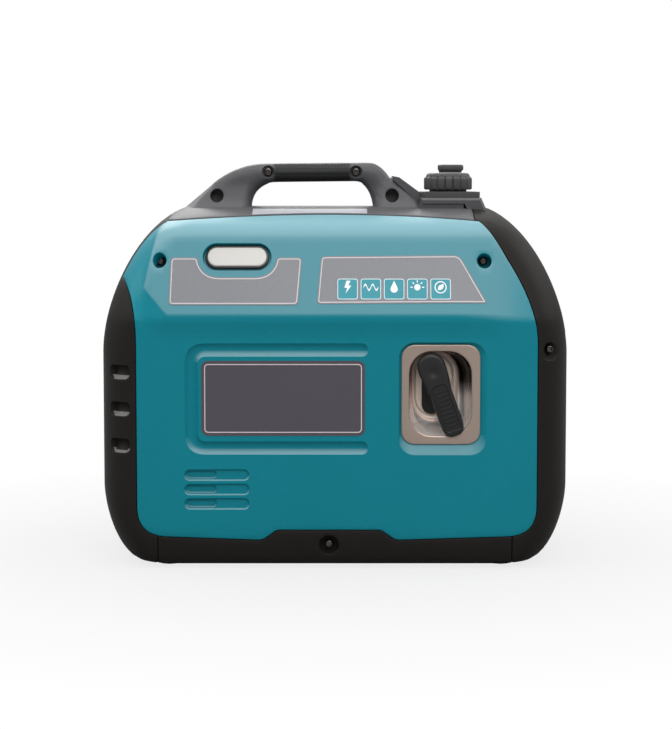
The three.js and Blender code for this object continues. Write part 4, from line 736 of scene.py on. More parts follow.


# The teal's pale mix on upward faces is a painted highlight.
teal_abs = moulded_plastic("teal_abs", "#067b8a", 0.42, flow=0.03, gloss=0.16,
                           top_highlight="#d8dfe0", top_highlight_share=0.22)
black_abs = moulded_plastic("black_abs", "#201e1c", 0.52, grain=0.4, scuff="#2e2c2a", gloss=0.08)
# Pale grey for the painted highlight on the louvres' ledges.
ledge_highlight_abs = moulded_plastic("ledge_highlight_abs", "#6c6c6a", 0.36, grain=0.1, gloss=0.4)
handle_nylon = moulded_plastic("handle_nylon", "#4a4a4c", 0.48, grain=0.35, gloss=0.28)
KNURL_PITCH = 0.0028            # metres between the raised dots of the hand grip


def knurl(material, middle, half_length, bottom):
    """A grip area with rows of small raised dots, from its middle X, half length and lowest Z; its colour is
    darkened, most between the dots, as painted shade in the knurl.
    """
    tree = material.node_tree
    shader = tree.nodes["Principled BSDF"]
    place = add_node(tree, "ShaderNodeTexCoord")
    axes = add_node(tree, "ShaderNodeSeparateXYZ", {}, {"Vector": place.outputs["Object"]})
    off_middle = add_node(tree, "ShaderNodeMath", {"operation": "SUBTRACT", 1: middle},
                          {0: axes.outputs["X"]})
    distance = add_node(tree, "ShaderNodeMath", {"operation": "ABSOLUTE"}, {0: off_middle})
    along = add_node(tree, "ShaderNodeMapRange", {"From Min": half_length, "From Max": half_length - 0.004},
                     {"Value": distance.outputs[0]})
    above = add_node(tree, "ShaderNodeMapRange", {"From Min": bottom, "From Max": bottom + 0.003},
                     {"Value": axes.outputs["Z"]})
    area = add_node(tree, "ShaderNodeMath", {"operation": "MULTIPLY"}, {0: along, 1: above})
    turned_place = add_node(tree, "ShaderNodeMapping", {"Rotation": (0, math.radians(45), 0)},
                            {"Vector": place.outputs["Object"]})
    dots = add_node(tree, "ShaderNodeTexVoronoi", {"Scale": 1 / KNURL_PITCH, "Randomness": 0.0},
                    {"Vector": turned_place.outputs[0]})
    height = add_node(tree, "ShaderNodeMapRange", {"From Min": 0.15, "From Max": 0.45, "To Min": 1.0,
                      "To Max": 0.0}, {"Value": dots.outputs["Distance"]})
    raised = add_node(tree, "ShaderNodeMath", {"operation": "MULTIPLY"}, {0: height, 1: area})
    grain = shader.inputs["Normal"].links[0].from_socket
    ridge = add_node(tree, "ShaderNodeBump", {"Strength": 0.9, "Distance": 0.0006},
                     {"Height": raised, "Normal": grain})
    tree.links.new(ridge.outputs[0], shader.inputs["Normal"])
    # Painted shade: the grip area is darkened, most in the hollows between the raised dots.
    dark = add_node(tree, "ShaderNodeMapRange", {"To Min": 0.08, "To Max": 0.5}, {"Value": height.outputs[0]})
    shade = add_node(tree, "ShaderNodeMapRange", {"To Min": 1.0}, {"Value": area, "To Max": dark.outputs[0]})
    base = add_node(tree, "ShaderNodeVectorMath", {"operation": "SCALE"},
                    {0: shader.inputs["Base Color"].links[0].from_socket, "Scale": shade.outputs[0]})
    tree.links.new(base.outputs[0], shader.inputs["Base Color"])


knurl(handle_nylon, -0.0275, 0.048, 0.4455)
print("plastics ready")

# %% [markdown]
# ## Putting flat points on the form
# Two unrollings cover the case. The side panels use the length along the side, which carries on
# round the upright corners as arc length. The end covers measure from the middle of the end, round
# both corners and on to the panels' edges. The outward normal comes from two nearby points each
# way, which is exact enough and needs no formula of its own.

# %% Unrolled places
PROBE = 0.05


def with_normals(point, flip):
    """Turn a function for points into one for points and outward normals."""
    def place(a, b):
        run = point(a + PROBE, b) - point(a - PROBE, b)
        rise = point(a, b + PROBE) - point(a, b - PROBE)
        normal = np.cross(run, rise)
        normal /= np.maximum(np.linalg.norm(normal, axis=1), 1e-12)[:, None]
        return point(a, b), normal * flip
    return place


def side_place(side):
    """(u, z) on a side: -1 is the starter side."""
    def point(u, z):
        z_in = np.clip(z, FOOT_HEIGHT, CROWN_HEIGHT)
        flat = half_length(z_in) - CORNER_LENGTH
        angle = np.clip((np.abs(u) - flat) / CORNER_GIRTH, 0, math.pi / 2)
        x = np.where(np.abs(u) <= flat, u, np.sign(u) * (flat + CORNER_LENGTH * np.sin(angle)))
        inner = end_depth(z_in)
        y = inner + (half_depth(z_in) - inner) * np.cos(angle)
        return np.stack((x, side * y, z), 1)
    return with_normals(point, -side)


def unroll_side(line):
    """A line of (x, z) on a side, laid flat as (girth, z)."""
    x, z = np.array(line, float).T
    flat = half_length(z) - CORNER_LENGTH
    turned = np.arcsin(np.clip((np.abs(x) - flat) / CORNER_LENGTH, 0, 1))
    return np.stack((np.where(np.abs(x) <= flat, x, np.sign(x) * (flat + CORNER_GIRTH * turned)), z), 1)


def end_point(side):
    """(w, z) on an end: w runs along Y on the end face and on round both corners."""
    def point(w, z):
        z_in = np.clip(z, FOOT_HEIGHT, CROWN_HEIGHT)
        inner = end_depth(z_in)
        over = np.abs(w) - inner
        angle = np.clip(over / CORNER_GIRTH, 0, math.pi / 2)
        corner = half_length(z_in) - CORNER_LENGTH * (1 - np.cos(angle))
        corner -= np.maximum(0, over - CORNER_GIRTH * math.pi / 2)
        face = half_length(z_in) + END_BULGE * (1 - (w / inner) ** 2)
        x = np.where(over <= 0, face, corner)
        round_y = np.sign(w) * (inner + (half_depth(z_in) - inner) * np.sin(angle))
        return np.stack((side * x, np.where(over <= 0, w, round_y), z), 1)
    return point


def unroll_end_from_side(line):
    """Front-view points (x, z) as (-w, z) on the end."""
    x, z = np.array(line, float).T
    flat = half_length(z) - CORNER_LENGTH
    angle = np.arccos(np.clip((np.abs(x) - flat) / CORNER_LENGTH, 0, 1))
    girth = end_depth(z) + CORNER_GIRTH * angle + np.maximum(0, flat - np.abs(x))
    return np.stack((girth, z), 1)


def unroll_end_from_y(y, z):
    """Girth of a point of an end, from its y and its height."""
    inner = end_depth(z)
    share = np.clip((np.abs(y) - inner) / (half_depth(z) - inner), 0, 1)
    return np.sign(y) * np.where(np.abs(y) <= inner, np.abs(y), inner + CORNER_GIRTH * np.arcsin(share))


def shift_line(line, distance):
    """An open line moved to its left by distance."""
    line = np.array(line, float)
    run = np.gradient(line, axis=0)
    run /= np.linalg.norm(run, axis=1)[:, None]
    return line + np.stack((-run[:, 1], run[:, 0]), 1) * distance


print("a corner at mid height is at", np.round(side_place(-1)(np.array([-250.0]), np.array([200.0]))[0], 1))

# %% [markdown]
# ## The panels' outline
# Both side panels share one outline: nearly straight sides, large lower corners, a notch over the
# tray's screw and, at the exhaust end, an upper corner that runs round the case. The same edge
# lines, moved out by the joint's 0.6 mm, bound the covers, the tray and the deck.

# %% Edge lines in front view (x, z)
PANEL_LEFT, PANEL_RIGHT = -END_HALF_LENGTH + 43.5, END_HALF_LENGTH - 39
PANEL_BOTTOM, PANEL_TOP = FOOT_HEIGHT + 31, CROWN_HEIGHT - 16
PANEL_CORNER = 37.0
WRAP_DEPTH = SIDE_HALF_DEPTH - 73
HANDLE_LEFT = -END_HALF_LENGTH + 76
SCREW_Z = SLANT_END - 28.5
SCREW_HOLE, SCREW_SEAT = 8.5, 8.8             # radii of a screw's bore, and of the seat at its end
SCREW_XS = (PANEL_LEFT + 26.2, PANEL_RIGHT - 61.2)
TRAY_SPLIT = END_HALF_LENGTH - 67.5
NOTCH_LEFT, NOTCH_RIGHT, NOTCH_RISE = -76.0, 62.0, 12.0

low = PANEL_BOTTOM
left_line = [(PANEL_LEFT + PANEL_CORNER, low + 2)]
left_line += list(quad_curve(left_line[0], (PANEL_LEFT, low + 2), (PANEL_LEFT, low + PANEL_CORNER), 12))
left_line += [(PANEL_LEFT, z) for z in np.linspace(low + PANEL_CORNER, SEAM_BEND, 24)[1:]]
left_line += list(quad_curve((PANEL_LEFT, SEAM_BEND), (PANEL_LEFT, SEAM_BEND + 50),
                             (PANEL_LEFT - 17, SEAM_BEND + 74), 14))
left_line += [(PANEL_LEFT - 17 - k, SEAM_BEND + 74 + k / 3) for k in (3, 6, 9, 12, 15, 18, 20, 22)]
right_line = [(PANEL_RIGHT - PANEL_CORNER, low + 2)]
right_line += list(quad_curve(right_line[0], (PANEL_RIGHT, low + 2), (PANEL_RIGHT, low + PANEL_CORNER), 12))
right_line += [(PANEL_RIGHT, z) for z in np.linspace(low + PANEL_CORNER, SEAM_BEND, 24)[1:]]
right_line += list(quad_curve((PANEL_RIGHT, SEAM_BEND), (PANEL_RIGHT, SEAM_BEND + 43),
                              (SCREW_XS[1] + 27, SCREW_Z + 2), 14))
right_line += list(quad_curve(right_line[-1], (SCREW_XS[1] + 10, PANEL_TOP - 14),
                              (SCREW_XS[1] - 4, PANEL_TOP), 8))
top_line = [(HANDLE_LEFT - SEAM, PANEL_TOP)]
top_line += list(quad_curve(top_line[0], (0, PANEL_TOP + 15), (SCREW_XS[1] - 4, PANEL_TOP), 30))
notch = soft_polygon([(PANEL_LEFT + PANEL_CORNER, low + 2, 0), (NOTCH_LEFT - 8.5, low - 2, 5),
                      (NOTCH_LEFT + 8.5, low + NOTCH_RISE - 2, 4),
                      (NOTCH_RIGHT - 8.5, low + NOTCH_RISE - 2, 4),
                      (NOTCH_RIGHT + 8.5, low - 2, 5), (PANEL_RIGHT - PANEL_CORNER, low + 2, 0)], 5)
bottom_line = list(notch)
left_line, right_line = np.array(left_line), np.array(right_line)
top_line, bottom_line = np.array(top_line), np.array(bottom_line)


def wrap_line(depth, low_z, top_x):
    """Heights along a line at a fixed Y round the upper corner, up to where it reaches top_x."""
    top = solve_height(lambda z: end_x(np.array(depth), z) > top_x, low_z, CROWN_HEIGHT - 1)
    return np.linspace(low_z, float(top), 24)


reach = side_y(left_line[:, 0], left_line[:, 1])
stop = int(np.argmax(reach < WRAP_DEPTH)) if (reach < WRAP_DEPTH).any() else len(left_line)
wrap_start = left_line[stop - 1, 1] + 0.8
wrap_z = wrap_line(WRAP_DEPTH, wrap_start, -HANDLE_LEFT + SEAM)
wrap_angle = np.arccos(np.clip((WRAP_DEPTH - end_depth(wrap_z))
                               / (half_depth(wrap_z) - end_depth(wrap_z)), 0, 1))
wrap_u = -(half_length(wrap_z) - CORNER_LENGTH + CORNER_GIRTH * wrap_angle)
PANEL_OUTLINE = np.concatenate((
    unroll_side(bottom_line), unroll_side(right_line[1:]), unroll_side(top_line[::-1]),
    np.stack((wrap_u, wrap_z), 1)[::-1], unroll_side(left_line[:stop][::-1])))
print("panel outline", len(PANEL_OUTLINE), "points, wraps from z", round(wrap_start, 1),
      "to", round(wrap_z[-1], 1))

# %% [markdown]
# ## Relief of the side panels
# What makes the sides look moulded is their relief. A band across the upper third stands proud over
# a facet that leans out to it, and ends in a point; a C-shaped groove frames the name plate; three
# blind slots echo the vents. Each is drawn as a closed line on the flat, and the distance to that
# line sets how deep a point lies, so every wall has its own slope instead of a knife edge.

# %% Relief lines and depths
BAND_RELIEF, BAND_RUN = 4.5, 26.0
BAND_FOOT, BAND_TIP, BAND_SHOULDER = (-194.2, SLANT_START + 5.5), (-221.4, 326.8), (-207, 392)
BAND_LINE = soft_polygon([(*BAND_FOOT, 4), (330, BAND_FOOT[1], 0), (330, 470, 0),
                          (-199, 470, 0), (*BAND_SHOULDER, 12), (*BAND_TIP, 3)], 5)
GROOVE_WIDTH, GROOVE_DEPTH = 15.4, 4.4
GROOVE_LEFT, GROOVE_RIGHT, GROOVE_BOTTOM, GROOVE_TOP = -173.4, 38.6, 134.2, 263.3


def c_groove():
    """The outline of the C-shaped groove, from the tip of its lower arm."""
    half = GROOVE_WIDTH / 2
    right, top, bottom = GROOVE_RIGHT - half, GROOVE_TOP - half, GROOVE_BOTTOM + half
    inner = GROOVE_LEFT + GROOVE_WIDTH
    points = [(GROOVE_LEFT + 24, bottom - half)]
    for angle in np.linspace(-90, 90, 11):
        points.append((right + half * math.cos(math.radians(angle)),
                       bottom + half * math.sin(math.radians(angle))))
    points.append((inner + 9, bottom + half))
    points.extend(quad_curve(points[-1], (inner, bottom + half), (inner, bottom + half + 9), 6))
    points.append((inner, top - half - 9))
    points.extend(quad_curve(points[-1], (inner, top - half), (inner + 9, top - half), 6))
    for angle in np.linspace(-90, 90, 11):
        points.append((right + half * math.cos(math.radians(angle)),
                       top + half * math.sin(math.radians(angle))))
    points.append((GROOVE_LEFT + 24, top + half))
    points.extend(quad_curve(points[-1], (GROOVE_LEFT, top + half), (GROOVE_LEFT, top + half - 24), 8))
    points.append((GROOVE_LEFT, bottom - half + 24))
    points.extend(quad_curve(points[-1], (GROOVE_LEFT, bottom - half), (GROOVE_LEFT + 24, bottom - half), 8))
    return np.array(points)


GROOVE_LINE = c_groove()
SLOT_DEPTH = 2.6
slot_lines = [round_box(-174.9, -98.9, 103.5 - 16.8 * k, 117 - 16.8 * k, 6.7) for k in range(3)]
pocket_lines = [round_box(-172.7, -137, 105.9 - 16.8 * k, 115 - 16.8 * k, 4.5) for k in range(3)]
BADGE_X, BADGE_Z, BADGE_RECESS = PANEL_LEFT + 116.3, SLANT_END - 24.5, 6.0
badge_line = round_box(BADGE_X - 40, BADGE_X + 40, BADGE_Z - 16, BADGE_Z + 16, 16, 12)
PULLEY_X, CRANK_HEIGHT, ROPE_RADIUS = 116.0, 170.0, 2.2
ROPE_Z = CRANK_HEIGHT + 50 + ROPE_RADIUS
BEZEL = (PULLEY_X - 39.4, PULLEY_X + 52.3, ROPE_Z - 76.7, ROPE_Z + 39.3)
POCKET_DEPTH = 5.0
pocket_rim = round_box(BEZEL[0] - 3, BEZEL[1] + 7, BEZEL[2] - 12, BEZEL[3] + 3, 19, 10)
pocket_seat = round_box(BEZEL[0] - 0.7, BEZEL[1] + 0.7, BEZEL[2] - 0.7, BEZEL[3] + 0.7, 15.5, 10)
dish_hole = round_box(BEZEL[0] + 6.6, BEZEL[1] - 6.6, BEZEL[2] + 6.6, BEZEL[3] - 5.1, 29, 10)
screw_holes = [circle(x, SCREW_Z, SCREW_HOLE) for x in SCREW_XS]
SEAT_DEPTH = 119.0              # of the panel screws, from the middle plane


def ease(t):
    """A smooth step from 0 to 1."""
    return t * t * (3 - 2 * t)


def band_height(flat):
    """How far the band stands proud of the plain side."""
    x, z = flat[:, 0], flat[:, 1]
    out = np.maximum(0, -signed_distance(flat, BAND_LINE))
    share = np.clip(1 - out / BAND_RUN, 0, 1) ** 1.2
    fade = (1 - between(z, SLANT_END, PANEL_TOP)) * (1 - ease(between(x, 130, PANEL_RIGHT - 4)))
    return BAND_RELIEF * share * fade * ease(between(x, PANEL_LEFT, PANEL_LEFT + 16))


def keep_painted_highlight_on_band(material):
    """The painted top highlight stays on the band, is taken off the corner at its left end and thinned at its
    right: painted shade where those faces turn from the light.
    """
    tree = material.node_tree
    highlight_mix = tree.nodes["top_highlight"]
    place = add_node(tree, "ShaderNodeTexCoord")
    axes = add_node(tree, "ShaderNodeSeparateXYZ", {}, {"Vector": place.outputs["Object"]})
    above = add_node(tree, "ShaderNodeMath", {"operation": "MAXIMUM", 1: BAND_FOOT[1] * MM},
                     {0: axes.outputs["Z"]})
    edges = []
    for x, z in (BAND_FOOT, BAND_SHOULDER):
        slope = (x - BAND_TIP[0]) / (z - BAND_TIP[1])
        edges.append(add_node(tree, "ShaderNodeMath", {"operation": "MULTIPLY_ADD", 1: slope,
                              2: (BAND_TIP[0] - slope * BAND_TIP[1]) * MM}, {0: above.outputs[0]}))
    edge = add_node(tree, "ShaderNodeMath", {"operation": "MAXIMUM"}, {0: edges[0], 1: edges[1]})
    inward = add_node(tree, "ShaderNodeMath", {"operation": "SUBTRACT"}, {0: axes.outputs["X"], 1: edge})
    left = add_node(tree, "ShaderNodeMapRange", {"From Min": -0.001, "From Max": 0.002},
                    {"Value": inward.outputs[0]})
    right = add_node(tree, "ShaderNodeMapRange", {"interpolation_type": "SMOOTHSTEP", "From Min": 0.185,
                     "From Max": 0.232, "To Min": 1.0, "To Max": 0.3}, {"Value": axes.outputs["X"]})
    highlight_share = highlight_mix.inputs[0].links[0].from_socket
    span = add_node(tree, "ShaderNodeMath", {"operation": "MULTIPLY"}, {0: left, 1: right})
    kept = add_node(tree, "ShaderNodeMath", {"operation": "MULTIPLY"}, {0: highlight_share, 1: span})
    tree.links.new(kept.outputs[0], highlight_mix.inputs[0])


# Painted highlight on the teal's band, and painted shade at its ends.
keep_painted_highlight_on_band(teal_abs)


# Distance inside its line at which each kind of recess reaches its depth.
SLOT_RUN, POCKET_RUN, BADGE_RUN = 1.4, 1.2, 1.6


def wall_share(flat, line, run):
    """Share of a recess's depth, reached at the distance run inside its line."""
    return ease(np.clip(signed_distance(flat, line) / run, 0, 1))


def groove_share(flat):
    """Share of the groove's depth: a rounded hollow across its width."""
    t = np.clip(signed_distance(flat, GROOVE_LINE) / (GROOVE_WIDTH / 2), 0, 1)
    return 1 - (1 - t) ** 2.2


def common_relief(flat):
    """Depth of what both panels have; the band lies below zero, as it stands proud."""
    depth = GROOVE_DEPTH * groove_share(flat) - band_height(flat)
    for line in slot_lines:
        depth += SLOT_DEPTH * wall_share(flat, line, SLOT_RUN)
    for line in pocket_lines:
        depth += SLOT_DEPTH * wall_share(flat, line, POCKET_RUN)
    return depth


def starter_side_relief(flat):
    """The common relief, with the badge's recess and the starter's pocket."""
    depth = common_relief(flat) + BADGE_RECESS * wall_share(flat, badge_line, BADGE_RUN)
    rim = np.maximum(0, signed_distance(flat, pocket_rim))
    seat = np.maximum(0, -signed_distance(flat, pocket_seat))
    share = rim / np.maximum(rim + seat, 1e-6)
    return depth + POCKET_DEPTH * np.where(rim > 0, share, 0)


def relief_rings(line, shares, run):
    """Loops inside a line, on which points lie where its wall bends."""
    return [offset_loop(line, run * share, 2.5) for share in shares]


common_lines = [offset_loop(BAND_LINE, -BAND_RUN * s, 5) for s in (-0.06, 0, 0.06, 0.25, 0.5, 0.75, 1)]
for line in common_lines:
    np.clip(line[:, 0], -1e3, PANEL_RIGHT + 60, out=line[:, 0])
common_lines += relief_rings(GROOVE_LINE, (-0.07, 0, 0.08, 0.2, 0.38, 0.6, 0.85), GROOVE_WIDTH / 2)
for line in slot_lines:
    common_lines += relief_rings(line, (-0.4, 0, 0.25, 0.5, 0.75, 1, 1.4), SLOT_RUN)
for line in pocket_lines:
    common_lines += relief_rings(line, (0, 0.33, 0.66, 1, 1.4), POCKET_RUN)
starter_lines = relief_rings(badge_line, (-0.4, 0, 0.25, 0.5, 0.75, 1, 1.3), BADGE_RUN)
starter_lines += [offset_loop(pocket_rim, -0.7), resample(pocket_rim, 3), offset_loop(pocket_rim, 0.6),
                  resample(pocket_seat, 3), offset_loop(pocket_seat, -0.6)]
print("relief lines", len(common_lines) + len(starter_lines))

# %% Build both side panels
front_panel = shell_piece(
    "front_panel_shell", teal_abs, side_place(-1), PANEL_OUTLINE, [*screw_holes, dish_hole],
    common_lines + starter_lines, (6, 6), 1.2, starter_side_relief, hole_wall=13, hole_radius=0.9,
    islands=[bore_seat(x, SCREW_Z, SCREW_SEAT, SEAT_DEPTH, -1) for x in SCREW_XS])
dress(front_panel, "front_panel")
rear_panel = shell_piece(
    "rear_panel_shell", teal_abs, side_place(1), PANEL_OUTLINE, screw_holes, common_lines, (6, 6),
    1.2, common_relief, hole_wall=13, hole_radius=0.9, outward=-1,
    islands=[bore_seat(x, SCREW_Z, SCREW_SEAT, SEAT_DEPTH, 1) for x in SCREW_XS])
dress(rear_panel, "rear_panel")
print("front panel triangles", len(front_panel.data.polygons), "rear", len(rear_panel.data.polygons))

# %% [markdown]
# ## End covers
# The covers wrap the ends and both upright corners, and meet the panels in the same seam lines.
# The exhaust end has three rows of louvres that bite into the corners; the outlet lies between
# them. The control end is open for the control panel and has fine intake slots below it. This
# cover also runs over the top, so above the panels its flat plane leans in towards the middle.

# %% Seams and cover outlines
HANDLE_RIGHT = END_HALF_LENGTH - 109.5
CAP_START, CAP_SPAN, CAP_AIM = PANEL_TOP + 1.0, 90.0, 90.0
cover_x = TRAY_SPLIT + SEAM


def crossing(line, x):
    """Where a seam first lies further out than x: the number of that point, and the spot itself."""
    k = int(np.argmax(np.abs(line[:, 0]) > x))
    share = (x - abs(line[k - 1, 0])) / (abs(line[k, 0]) - abs(line[k - 1, 0]))
    return k, line[k - 1] + (line[k] - line[k - 1]) * share


def start_at(line, x):
    """The part of a seam that lies further out than x, started exactly there."""
    k, spot = crossing(line, x)
    return np.vstack((spot, line[k:]))


def both_halves(half):
    """Mirror a line of (girth, z), drawn from the bottom up, into a closed outline."""
    return np.vstack((half * (-1, 1), half[::-1]))


def tray_edge(seam):
    """The straight edge from the floor up to the start of a seam."""
    z = np.linspace(FOOT_HEIGHT, seam[0, 1], 9)[:-1]
    return np.stack((np.full(8, cover_x), z), 1)


def capped_place(side):
    """The end's mapping, which above CAP_START moves in over the top."""
    base = end_point(side)

    def point(w, z):
        ring = base(w, np.minimum(z, CAP_START))
        share = np.maximum(0, z - CAP_START) / CAP_SPAN
        x = side * ring[:, 0] * (1 - share) + CAP_AIM * share
        y = ring[:, 1] * (1 - share)
        return np.stack((side * x, y, np.where(share > 0, deck_height(x, y), z)), 1)
    return with_normals(point, side)


left_seam = start_at(shift_line(left_line[:stop], SEAM), cover_x)
edge_y = WRAP_DEPTH - SEAM
edge_x = -HANDLE_LEFT + SEAM
rise_z = wrap_line(edge_y, left_seam[-1, 1] + 0.8, edge_x)
across_y = np.linspace(edge_y, 0, 30)[1:]
across_z = solve_height(lambda z: end_x(across_y, z) > edge_x, np.full(29, 380.0), np.full(29, CROWN_HEIGHT))
LEFT_COVER = both_halves(np.vstack((
    unroll_end_from_side(np.vstack((tray_edge(left_seam), left_seam))),
    np.stack((unroll_end_from_y(np.full(24, edge_y), rise_z), rise_z), 1),
    np.stack((unroll_end_from_y(across_y, across_z), across_z), 1))))

right_seam = start_at(shift_line(right_line, -SEAM), cover_x)
cap_x = HANDLE_RIGHT + SEAM
cap_w = unroll_end_from_side([(cap_x, CAP_START)])[0, 0]
cap_girths = np.linspace(cap_w, 0, 40)
cap_ring = end_point(1)(cap_girths, np.full(40, CAP_START))[:, 0]
cap_share = (cap_ring - cap_x) / (cap_ring - CAP_AIM)
RIGHT_COVER = both_halves(np.vstack((
    unroll_end_from_side(np.vstack((tray_edge(right_seam), right_seam, (cap_x, PANEL_TOP + 0.8)))),
    np.stack((cap_girths, CAP_START + CAP_SPAN * cap_share), 1))))
print("left cover", len(LEFT_COVER), "points, right cover", len(RIGHT_COVER))

# %% Louvres and slots
VENT_TOPS = [END_HALF_LENGTH - 35 - 42.7 * k for k in range(3)]
VENT_HEIGHT, VENT_DEPTH = 18.0, 7.0
OUTLET_Y, OUTLET_Z, OUTLET_RADIUS = 40.0, 190.0, 21.0
VENT_RIB = 11.0                 # half width of the upright rib in the middle of the end
corner_near, corner_far = (unroll_end_from_side([(x, 190.0)])[0, 0] for x in (261.0, 237.0))
vents = [(top, round_box(*sorted((side * start, side * stop)), top - VENT_HEIGHT, top, 6))
         for top in VENT_TOPS for side in (-1, 1)
         for start, stop in ((VENT_RIB, 86), (corner_near, corner_far))]


def louvre_relief(flat):
    """Rows that are cut in steeply from above and run out softly below."""
    depth = np.zeros(len(flat))
    for top, line in vents:
        ramp = np.clip((flat[:, 1] - top + VENT_HEIGHT) / 7.5, 0, 1)
        depth += VENT_DEPTH * wall_share(flat, line, 2.2) * ramp ** 0.8
    past_rim = distance_to(flat, outlet_rim) * np.sign(signed_distance(flat, outlet_rim))
    rim = np.clip((past_rim + 1.5) / 3, 0, 1)
    return depth * (1 - rim)


outlet_rim = circle(OUTLET_Y, OUTLET_Z, OUTLET_RADIUS + 5, 48)
windows = []
for top in VENT_TOPS:
    for y in (-66, -33, 33, 66):
        z = top - VENT_HEIGHT / 2 + 1
        if math.hypot(y - OUTLET_Y, z - OUTLET_Z) > OUTLET_RADIUS + 22:
            windows.append(round_box(y - 13, y + 13, z - 4, z + 4, 4, 4))
louvre_lines = [outlet_rim]
for top, line in vents:
    louvre_lines += relief_rings(line, (-0.3, 0, 0.3, 0.65, 1), 2.2)
end_holes = [circle(OUTLET_Y, OUTLET_Z, OUTLET_RADIUS)]
OPENING = (92.0, 96.0, 270.0)   # half width, bottom and top of the control opening
slots = [round_box(y - 22, y + 22, z - 3, z + 3, 3, 4) for y in (-50, 0, 50) for z in (80, 68, 56)]
END_SCREW = (END_HALF_LENGTH - 24, 255.5)
END_SEAT_DEPTH = 141
screw_girth = unroll_end_from_side([END_SCREW])[0, 0]
end_screw_holes = [circle(side * screw_girth, END_SCREW[1], SCREW_HOLE) for side in (-1, 1)]
print("louvre windows", len(windows), "slots", len(slots))


pockets = [round_box(side * screw_girth - 12, side * screw_girth + 12, END_SCREW[1] - 13, END_SCREW[1] + 9, 8)
           for side in (-1, 1)]


def pocket_relief(flat):
    """Depth of the pockets that the end's screws stand in."""
    share = np.clip((END_SCREW[1] + 9 - flat[:, 1]) / 12, 0, 1)      # open at the top, lipped at the foot
    return 3.0 * share * sum(wall_share(flat, line, 2.4) for line in pockets)


def end_floor(side):
    """The small floor that closes a cover under its corner."""
    y = np.linspace(-half_depth(FOOT_HEIGHT) + 1, half_depth(FOOT_HEIGHT) - 1, 41)
    x = end_x(y, np.array(FOOT_HEIGHT)) - 1
    keep = x > cover_x
    rim = np.stack((side * x[keep], y[keep]), 1)
    first, last = (side * cover_x, y[keep][-1]), (side * cover_x, y[keep][0])
    return floor_plate(np.vstack((rim, first, last)))


# %% Build both end covers
left_cover = shell_piece(
    "left_cover_shell", black_abs, with_normals(end_point(-1), -1), LEFT_COVER, windows + end_holes,
    louvre_lines, (6, 6), 1.2, louvre_relief, hole_radius=0.7, outward=-1, islands=[end_floor(-1)])
dress(left_cover, "left_end_cover")


def ledge_highlight_outline(line, top):
    """A crescent along the foot of a louvre, with pointed ends, for a pale sheet that is a painted highlight
    on the ledge.
    """
    low, high = line[:, 0].min() + 1.2, line[:, 0].max() - 1.2
    foot, head = top - VENT_HEIGHT + 1.2, top - VENT_HEIGHT + 5.8
    return np.vstack(([(low, head), (high, head)],
                      quad_curve((high, head), (high - 2, foot), (high - 9, foot), 8),
                      quad_curve((low + 9, foot), (low + 2, foot), (low, head), 8)))


# Pale crescents at the louvres' feet: a painted highlight where the ledges face the light from above.
ledge_highlights = []
for top, line in vents:
    middle = line.mean(0)
    if math.hypot(middle[0] - OUTLET_Y, middle[1] - OUTLET_Z) > OUTLET_RADIUS + 22:
        ledge_highlights.append(shell_piece(f"louvre_ledge_highlight_{len(ledge_highlights) + 1}", ledge_highlight_abs, with_normals(end_point(-1), -1),
                                ledge_highlight_outline(line, top), [], [], (2, 2), 0,
                                lambda flat: louvre_relief(flat) - 0.3,
                                wall=1.2, step=1.5, outward=-1))
        dress(ledge_highlights[-1])
print("louvre lips", len(ledge_highlights))
right_cover = shell_piece(
    "right_cover_shell", black_abs, capped_place(1), RIGHT_COVER,
    [round_box(-OPENING[0], OPENING[0], OPENING[1], OPENING[2], 14, 8)] + slots + end_screw_holes,
    [ring for line in pockets for ring in relief_rings(line, (0, 0.3, 0.65, 1), 2.4)], (6, 6), 1.2,
    pocket_relief, hole_wall=10, hole_radius=1.0,
    islands=[end_floor(1)] + [bore_seat(*END_SCREW, SCREW_SEAT, END_SEAT_DEPTH, side)
                              for side in (-1, 1)])
dress(right_cover, "right_end_cover")
print("covers", len(left_cover.data.polygons), len(right_cover.data.polygons), "triangles")

# %% [markdown]
# ## Tray
# The tray is the lowest shell. Its upper edge follows the panels' lower edge, with the rise over
# the screw that holds panel and tray together.

# %% Build the tray
TRAY_SCREW = (-7.0, 28.0)
TRAY_HOLE, TRAY_SEAT, TRAY_SEAT_DEPTH = 11.5, 11.8, 143


def stop_at(line, x):
    """The part of a seam that lies further in than x, ended exactly there."""
    k, spot = crossing(line, x)
    return np.vstack((line[:k], spot))


tray_top = np.vstack((stop_at(left_line, TRAY_SPLIT)[:0:-1], bottom_line,
                      stop_at(right_line, TRAY_SPLIT)[1:]))
tray_top = shift_line(tray_top, -SEAM)
tray_low = np.stack((np.linspace(TRAY_SPLIT, -TRAY_SPLIT, 90), np.full(90, FOOT_HEIGHT)), 1)
left_side = np.stack((np.full(9, -TRAY_SPLIT), np.linspace(FOOT_HEIGHT, tray_top[0, 1], 9)), 1)[1:-1]
right_side = np.stack((np.full(9, TRAY_SPLIT), np.linspace(tray_top[-1, 1], FOOT_HEIGHT, 9)), 1)[1:-1]
TRAY_OUTLINE = unroll_side(np.vstack((left_side, tray_top, right_side, tray_low)))
x = np.linspace(-TRAY_SPLIT, TRAY_SPLIT, 60)
y = side_y(x, np.array(FOOT_HEIGHT)) - 1
tray_floor = floor_plate(np.vstack((np.stack((x, -y), 1), np.stack((x, y), 1)[::-1])))
low_rows = np.concatenate([grid(-210, 210, z, z + 0.1, 6, 1) for z in (6.5, 8, 10, 13, 17, 22, 27, 33, 39)])
tray_parts = []
